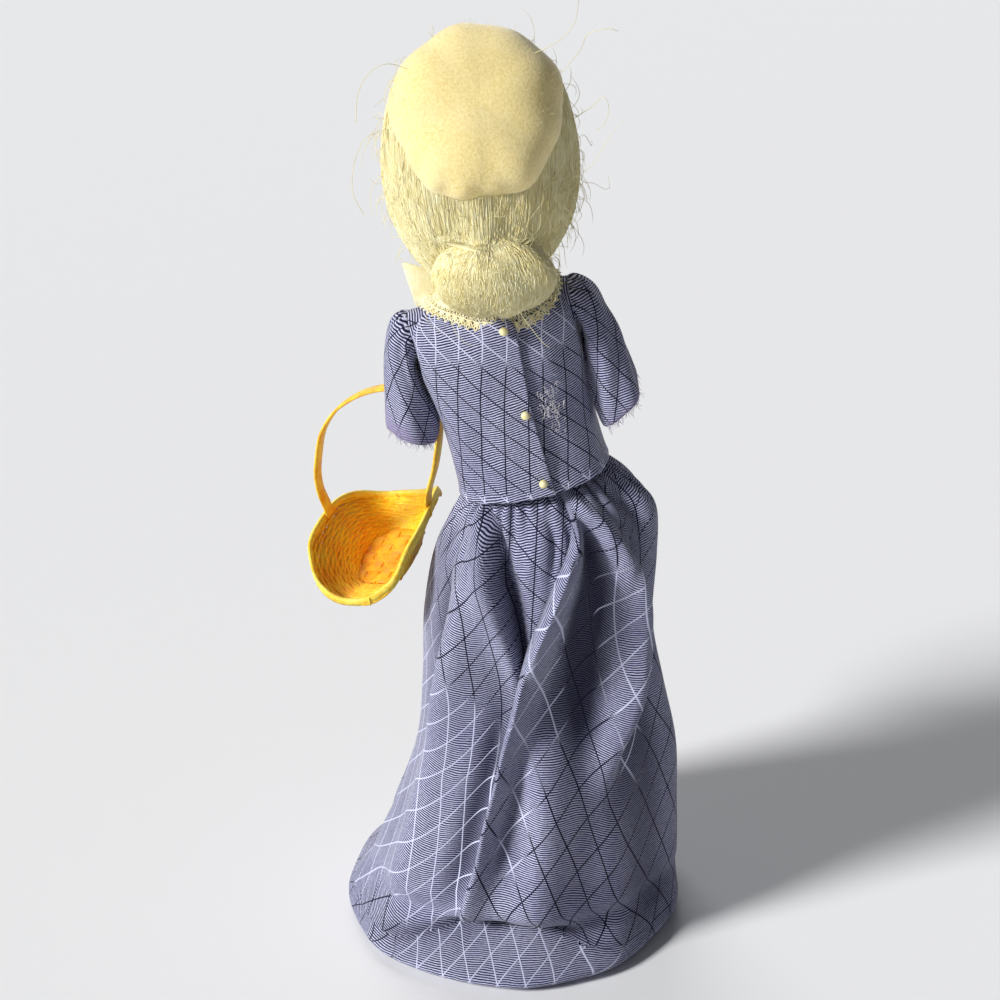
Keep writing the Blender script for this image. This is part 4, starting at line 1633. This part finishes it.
reeds, reed_girths = [], []
row_samples = np.linspace(0, 1, stake_count * 6, endpoint=False)
for row in range(reed_rows):
    rise = 0.04 + 0.95 * row / (reed_rows - 1)
    weave = 0.22 * np.sin(math.pi * stake_count * row_samples + math.pi * row)
    wander = 0.012 * np.sin(2 * math.pi * row_samples * 3 + row * 1.7)
    reeds.append(in_basket(bowl_surface(even_turn(row_samples), rise + wander, 0.9 + weave)))
    reed_girths.append(dice.uniform(0.67, 0.77))
wall_reeds = threads("basket_reeds", reeds, reed_girths, reed_paint, sides=6, closed=True)

stakes = []
for stake in range(stake_count):
    turn = float(even_turn((stake + 0.5) / stake_count))
    rises = np.linspace(-0.02, 0.99, 10)
    path = bowl_surface(np.full(10, turn), rises, 0.9)
    beside = bowl_surface(np.full(10, turn + 0.02), rises, 0.9)
    stakes.append((in_basket(path), in_basket(beside) - in_basket(path), 1.2, 0.2))
# the two sets of floor splints: way along, way across, count, half of the span they fill, half of the longest
x_way, y_way = np.array([1.0, 0, 0]), np.array([0, 1.0, 0])
floor_sets = ((x_way, y_way, 6, 14.2, 9.8), (y_way, x_way, 4, 9.4, 14.6))
for which, (way, across, count, span, reach) in enumerate(floor_sets):
    other_pitch = 2 * floor_sets[1 - which][3] / floor_sets[1 - which][2]
    for k in range(count):
        at = span * (2 * (k + 0.5) / count - 1)
        limit = reach * (1 - abs(at / (span + 1.2)) ** bowl_square) ** (1 / bowl_square)
        run = np.linspace(-limit, limit, 29)
        weave = 0.34 * np.sin(math.pi * (run / other_pitch + k + which))
        flat = run[:, None] * way + at * across + np.array([0, floor_shift, 0])
        flat[:, 2] = floor_height(flat[:, 1]) + 0.9 + weave
        stakes.append((in_basket(flat), basket_pose @ across, 2.35, 0.28))
wall_splints = strips("basket_splints", stakes, splint_paint)

under_turn, under_rise = np.meshgrid(full_turn(72), np.linspace(0, 1, 6))
under = bowl_surface(under_turn, 0 * under_turn, 0.4)
under_y = (under[..., 1] - floor_shift) * under_rise + floor_shift
under = np.stack([under[..., 0] * under_rise, under_y, floor_height(under_y) + 0.15], -1)
under[0] += oval(under_turn[0], 0.05, 0.05, 0)
floor_board = new_piece("basket_floor", in_basket(under), grid_faces(6, 72, True)[:, ::-1], splint_paint)
thicken(floor_board, 0.3)
print("basket has", stake_count, "stakes and", reed_rows, "rows of reed")

# %% The basket's rim and handle
rim_turn = even_turn(np.linspace(0, 1, 90, endpoint=False))
kinks = 0.45 * waves(6, 3, [(4, 11)], rim_turn)
rim_line = bowl_surface(rim_turn, 1 + 0 * rim_turn, 0.8 + 0.6 * kinks, 1.2 + 0.5 * kinks)
rim_next = np.roll(rim_line, -1, 0) - np.roll(rim_line, 1, 0)
rim_out = unit(np.cross(rim_next, np.array([0, 0, 1.0])))
rim_rise = np.cross(rim_out, unit(rim_next))
rim_swell = 1 + 0.12 * np.sin(7 * rim_turn)
# the band's section: corners outwards and upwards from its middle
section = [(-0.5, -1.5), (0.5, -1.5), (0.62, 0), (0.5, 1.5), (-0.5, 1.5), (-0.62, 0)]
rim_rings = np.stack([rim_line + o * rim_out + (u * rim_swell)[:, None] * rim_rise for o, u in section], 1)
rim_band = new_piece("basket_rim_band", in_basket(rim_rings), tube_faces(90, 6), rim_paint)
lashes_made = []
for k in range(4, 90, 11):
    loop = [rim_line[k] + 0.85 * math.cos(t) * rim_out[k] + (1.9 * math.sin(t) - 0.25) * rim_rise[k]
            + 0.8 * math.sin(t) * unit(rim_next)[k] for t in full_turn(9)]
    lashes_made.append(in_basket(np.array(loop)))
rim_lashes = threads("basket_rim_lashes", lashes_made, [0.26] * len(lashes_made), rim_paint, sides=4,
                     closed=True)


def foot_at(side, rise):
    return in_basket([18.4 * side, -8.0 if side < 0 else -4.5, rise])


handle_steps, handle_count, half_blur = 11, 140, 6
handle_knots = [foot_at(-1, 0.4), foot_at(-1, 4)]
handle_knots += [basket_seat + np.array(step) for step in (
    (-5.2, 2.7, -20.5), (-6.6, 0.7, -5.5), (-4.6, -0.3, 2.3), (2.2, -1.3, 6.3), (15.2, -3.3, 5.4),
    (25.2, -4.8, 0), (32.2, -5.8, -7.6), (35.4, -6.3, -17.5), (36.6, -6.9, -33.5))]
handle_knots = np.array(handle_knots + [foot_at(1, 4), foot_at(1, 0.4)])
knot_walk = running(step_lengths(handle_knots))
handle_turn = np.linspace(0, handle_steps, handle_count)
handle_walk = handle_turn / handle_steps * knot_walk[-1]
bent = np.stack([np.interp(handle_walk, knot_walk, handle_knots[:, k]) for k in range(3)], -1)
spread = np.pad(bent, ((half_blur, half_blur), (0, 0)), "reflect", reflect_type="odd")
handle_path = np.mean([spread[k:k + handle_count] for k in range(2 * half_blur + 1)], axis=0)
handle_path += (0.18 * waves(5, 23, [(2, 7)], handle_turn))[:, None] * np.array([0.3, 0.9, 0.3])
handle_across = [-math.sin(math.radians(basket_yaw)), math.cos(math.radians(basket_yaw)), 0]
handle_half = 2.75 + 0.12 * waves(4, 6, [(1, 4)], handle_turn)
handle = strips("basket_carrying_splint", [(handle_path, handle_across, handle_half, 0.5)], handle_paint)
for made, slot in ((wall_reeds, "wicker"), (wall_splints, "wicker"), (floor_board, "wicker"),
                   (rim_band, "wicker_rim"), (rim_lashes, "wicker_rim"), (handle, "splint")):
    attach(made, "basket")
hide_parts("basket_bowl")
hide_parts("basket_rim")
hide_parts("basket_handle")
print("basket rim has", len(lashes_made), "lashings; the handle is", round(knot_walk[-1]), "mm long")

# %% [markdown]
# The pins are dressmaker's pins with a round glossy head on a steel shank. Each one moves with its own
# body, so that it can be drawn out of the cloth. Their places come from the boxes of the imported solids.

# %% Pins
pearl_paint = noise_paint("pin_head", 500.0, 2.0, srgb(232, 218, 150), srgb(244, 236, 186), (0.3, 0.7),
                          Roughness=0.18, Coat_Weight=0.6, Coat_Roughness=0.08)[0]
steel_paint, steel_tree, steel_shader, steel_noise = noise_paint(
    "drawn_steel", 800.0, 3.0, srgb(150, 150, 154), srgb(206, 206, 210), Metallic=1.0)
steel_tree.links.new(ease(steel_tree, steel_noise, 0.3, 0.7, 0.25, 0.45), steel_shader.inputs["Roughness"])
for name in ("top", "middle", "bottom"):
    low, high = (np.array(corner) * 1000 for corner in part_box(name + "_pin"))
    centre = np.array([(low[0] + high[0]) / 2, high[1] - pin_head, (low[2] + high[2]) / 2])
    bow = np.linspace(0, math.pi, 17)
    ball_path = centre + np.outer(-pin_head * np.cos(bow), [0, 1.0, 0])
    ball_radius = np.maximum(pin_head * np.sin(bow), 0.03)[:, None] * np.ones(24)
    ball_head = lofted(name + "_pin_ball", rings_along(ball_path, ball_radius, 24), pearl_paint)
    shank_y = np.linspace(high[1] - 2.9, low[1], 12)
    shank_path = np.stack([np.full(12, centre[0]), shank_y, np.full(12, centre[2])], -1)
    shank_wide = np.interp(shank_y, (low[1], low[1] + 4, high[1]), (0.04, 0.38, 0.38))
    shank = lofted(name + "_pin_shank", rings_along(shank_path, shank_wide[:, None] * np.ones(10), 10),
                   steel_paint)
    for made in (ball_head, shank):
        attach(made, "pin_" + name)
    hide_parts(name + "_pin")
print("three pins, heads 3 mm across")

# %% [markdown]
# What the skirt hides is still part of the doll: wound padding in the jacket, a tape at the waist that the
# gathers are sewn to, a cotton petticoat over a cone of rolled paper, and a wooden foot with felt under it.
# Soft ones are rebuilt as cloth. The disc, the wires and the paper cone keep their solids and get a finish.

# %% Padding and waist tape
waist_half_x, waist_half_y = 20, 14
torso_rings = []
turn = full_turn(72)
for height in np.linspace(-3, 71.5, 90):
    place = np.interp(height, jacket_rows[:, 0], np.arange(8.0))
    slim = np.interp(height, (-3, 2), (-2, 0))
    upper = jacket_surface(turn, np.full(72, place), -1.9 - 1.2 * np.clip((height - 60) / 8, 0, 1))
    lower = oval(turn, waist_half_x + slim, waist_half_y + slim, height)
    blend = np.clip((height - 12.8) / 11, 0, 1)
    step = 0.2 * (((height / 5.5 + turn / (2 * math.pi)) % 1) - 0.5)
    ring = lower + (upper - lower) * blend
    ring[:, 2] = height
    ring[:, :2] *= (1 + step / 18)[:, None]
    torso_rings.append(ring)
wound_torso = lofted("wound_torso", chest_place(torso_rings), cotton_paint)
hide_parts("torso_padding")

tape_paint, tape_tree, tape_shader = new_material("waist_tape", Roughness=0.9)
tape_wave = {"Vector": object_place(tape_tree), "Scale": 520.0, "Distortion": 0.5}
tape_weave = add_node(tape_tree, "ShaderNodeTexWave", tape_wave, bands_direction="Z").outputs["Fac"]
tape_colour = blend_colours(tape_tree, tape_weave, srgb(86, 86, 128), srgb(122, 122, 160))
tape_tree.links.new(tape_colour, tape_shader.inputs["Base Color"])
raise_surface(tape_tree, tape_shader, tape_weave, 0.0002, 0.5)
tape_turn = full_turn(96)
# the tape's section: out from the torso, height
tape_edges = ((0.4, 7.7), (2.3, 7.8), (2.5, 10.2), (2.3, 12.5), (0.4, 12.6), (0.35, 10.2))
tape_rings = np.array([oval(tape_turn, waist_half_x + grow, waist_half_y + grow, height)
                       for grow, height in tape_edges])
waist_tape = new_piece("waist_tape", chest_place(tape_rings), tube_faces(6, 96), tape_paint)
stitch_bulge = 2.55 + 0.2 * np.sin(np.linspace(0, math.pi, 5))
stitches = [chest_place(oval(turn + np.linspace(0, 0.09, 5), waist_half_x + stitch_bulge,
                             waist_half_y + stitch_bulge, 9.0))
            for turn in full_turn(44)]
tape_stitches = threads("waist_tape_stitches", stitches, [0.16] * len(stitches), cotton_paint, sides=4)
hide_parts("waistband")
print("waist tape has", len(stitches), "stitches")

# %% Petticoat and felt
under_turn, under_place = np.meshgrid(np.linspace(0, 2 * math.pi, 241), np.linspace(2.2, 9.4, 80))
ruffle = 0.5 * np.sin(30 * under_turn + 1.5 * np.sin(3 * under_turn))
petticoat_points, _ = skirt_surface(under_turn, under_place, 5.0 - ruffle, plain=True)
petticoat = new_piece("gathered_petticoat", petticoat_points, grid_faces(80, 241), cotton_paint)
thicken(petticoat, 0.35)
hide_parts("petticoat")

felt_paint, felt_tree, felt_shader, felt_noise = noise_paint(
    "foot_felt", 900.0, 4.0, srgb(34, 46, 40), srgb(66, 84, 72), Roughness=0.96, Sheen_Weight=0.4)
raise_surface(felt_tree, felt_shader, felt_noise, 0.0004, 0.7)
felt_turn = full_turn(160)
ragged = 0.15 * waves(6, 2, [(9, 40)], felt_turn)
# the felt's section: radius, height
felt_edges = ((10, 0.02), (30, 0.02), (39.9, 0.02), (40.4, 0.4), (40.4, 1.1), (40.0, 1.45), (30, 1.45),
              (10, 1.45))
felt_rings = [oval(felt_turn, r + ragged * (r > 30), r + ragged * (r > 30), z) for r, z in felt_edges]
foot_felt = lofted("foot_felt", felt_rings, felt_paint)
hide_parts("base_felt")
for made in (wound_torso, waist_tape, tape_stitches, petticoat, foot_felt):
    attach(made, "figure")

# %% Finishes for the solids that stay
wood_paint, wood_tree, wood_shader = new_material("turned_wood", Roughness=0.55)
wood_noise = noise(wood_tree, stretched_place(wood_tree, object_place(wood_tree), (1, 0.12, 1)),
                   220.0, 6.0, 0.6)
wood_tone = ease(wood_tree, wood_noise, 0.3, 0.7)
wood_colour = blend_colours(wood_tree, wood_tone, srgb(148, 104, 62), srgb(206, 164, 112))
wood_tree.links.new(wood_colour, wood_shader.inputs["Base Color"])
raise_surface(wood_tree, wood_shader, wood_noise, 0.0002, 0.4)
paper_paint, paper_tree, paper_shader, paper_noise = noise_paint(
    "rolled_paper", 350.0, 5.0, srgb(166, 136, 92), srgb(206, 180, 136), Roughness=0.85)
raise_surface(paper_tree, paper_shader, paper_noise, 0.0002, 0.4)
finishes = {"base_disc": wood_paint, "skirt_form": paper_paint, "leg_wire": steel_paint,
            "spine_wire": steel_paint, "left_arm_wire": steel_paint, "right_arm_wire": steel_paint}
for node, paint in finishes.items():
    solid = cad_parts[node]
    solid.data.materials.clear()
    solid.data.materials.append(paint)
print("finishes set on", len(finishes), "solids that stay")
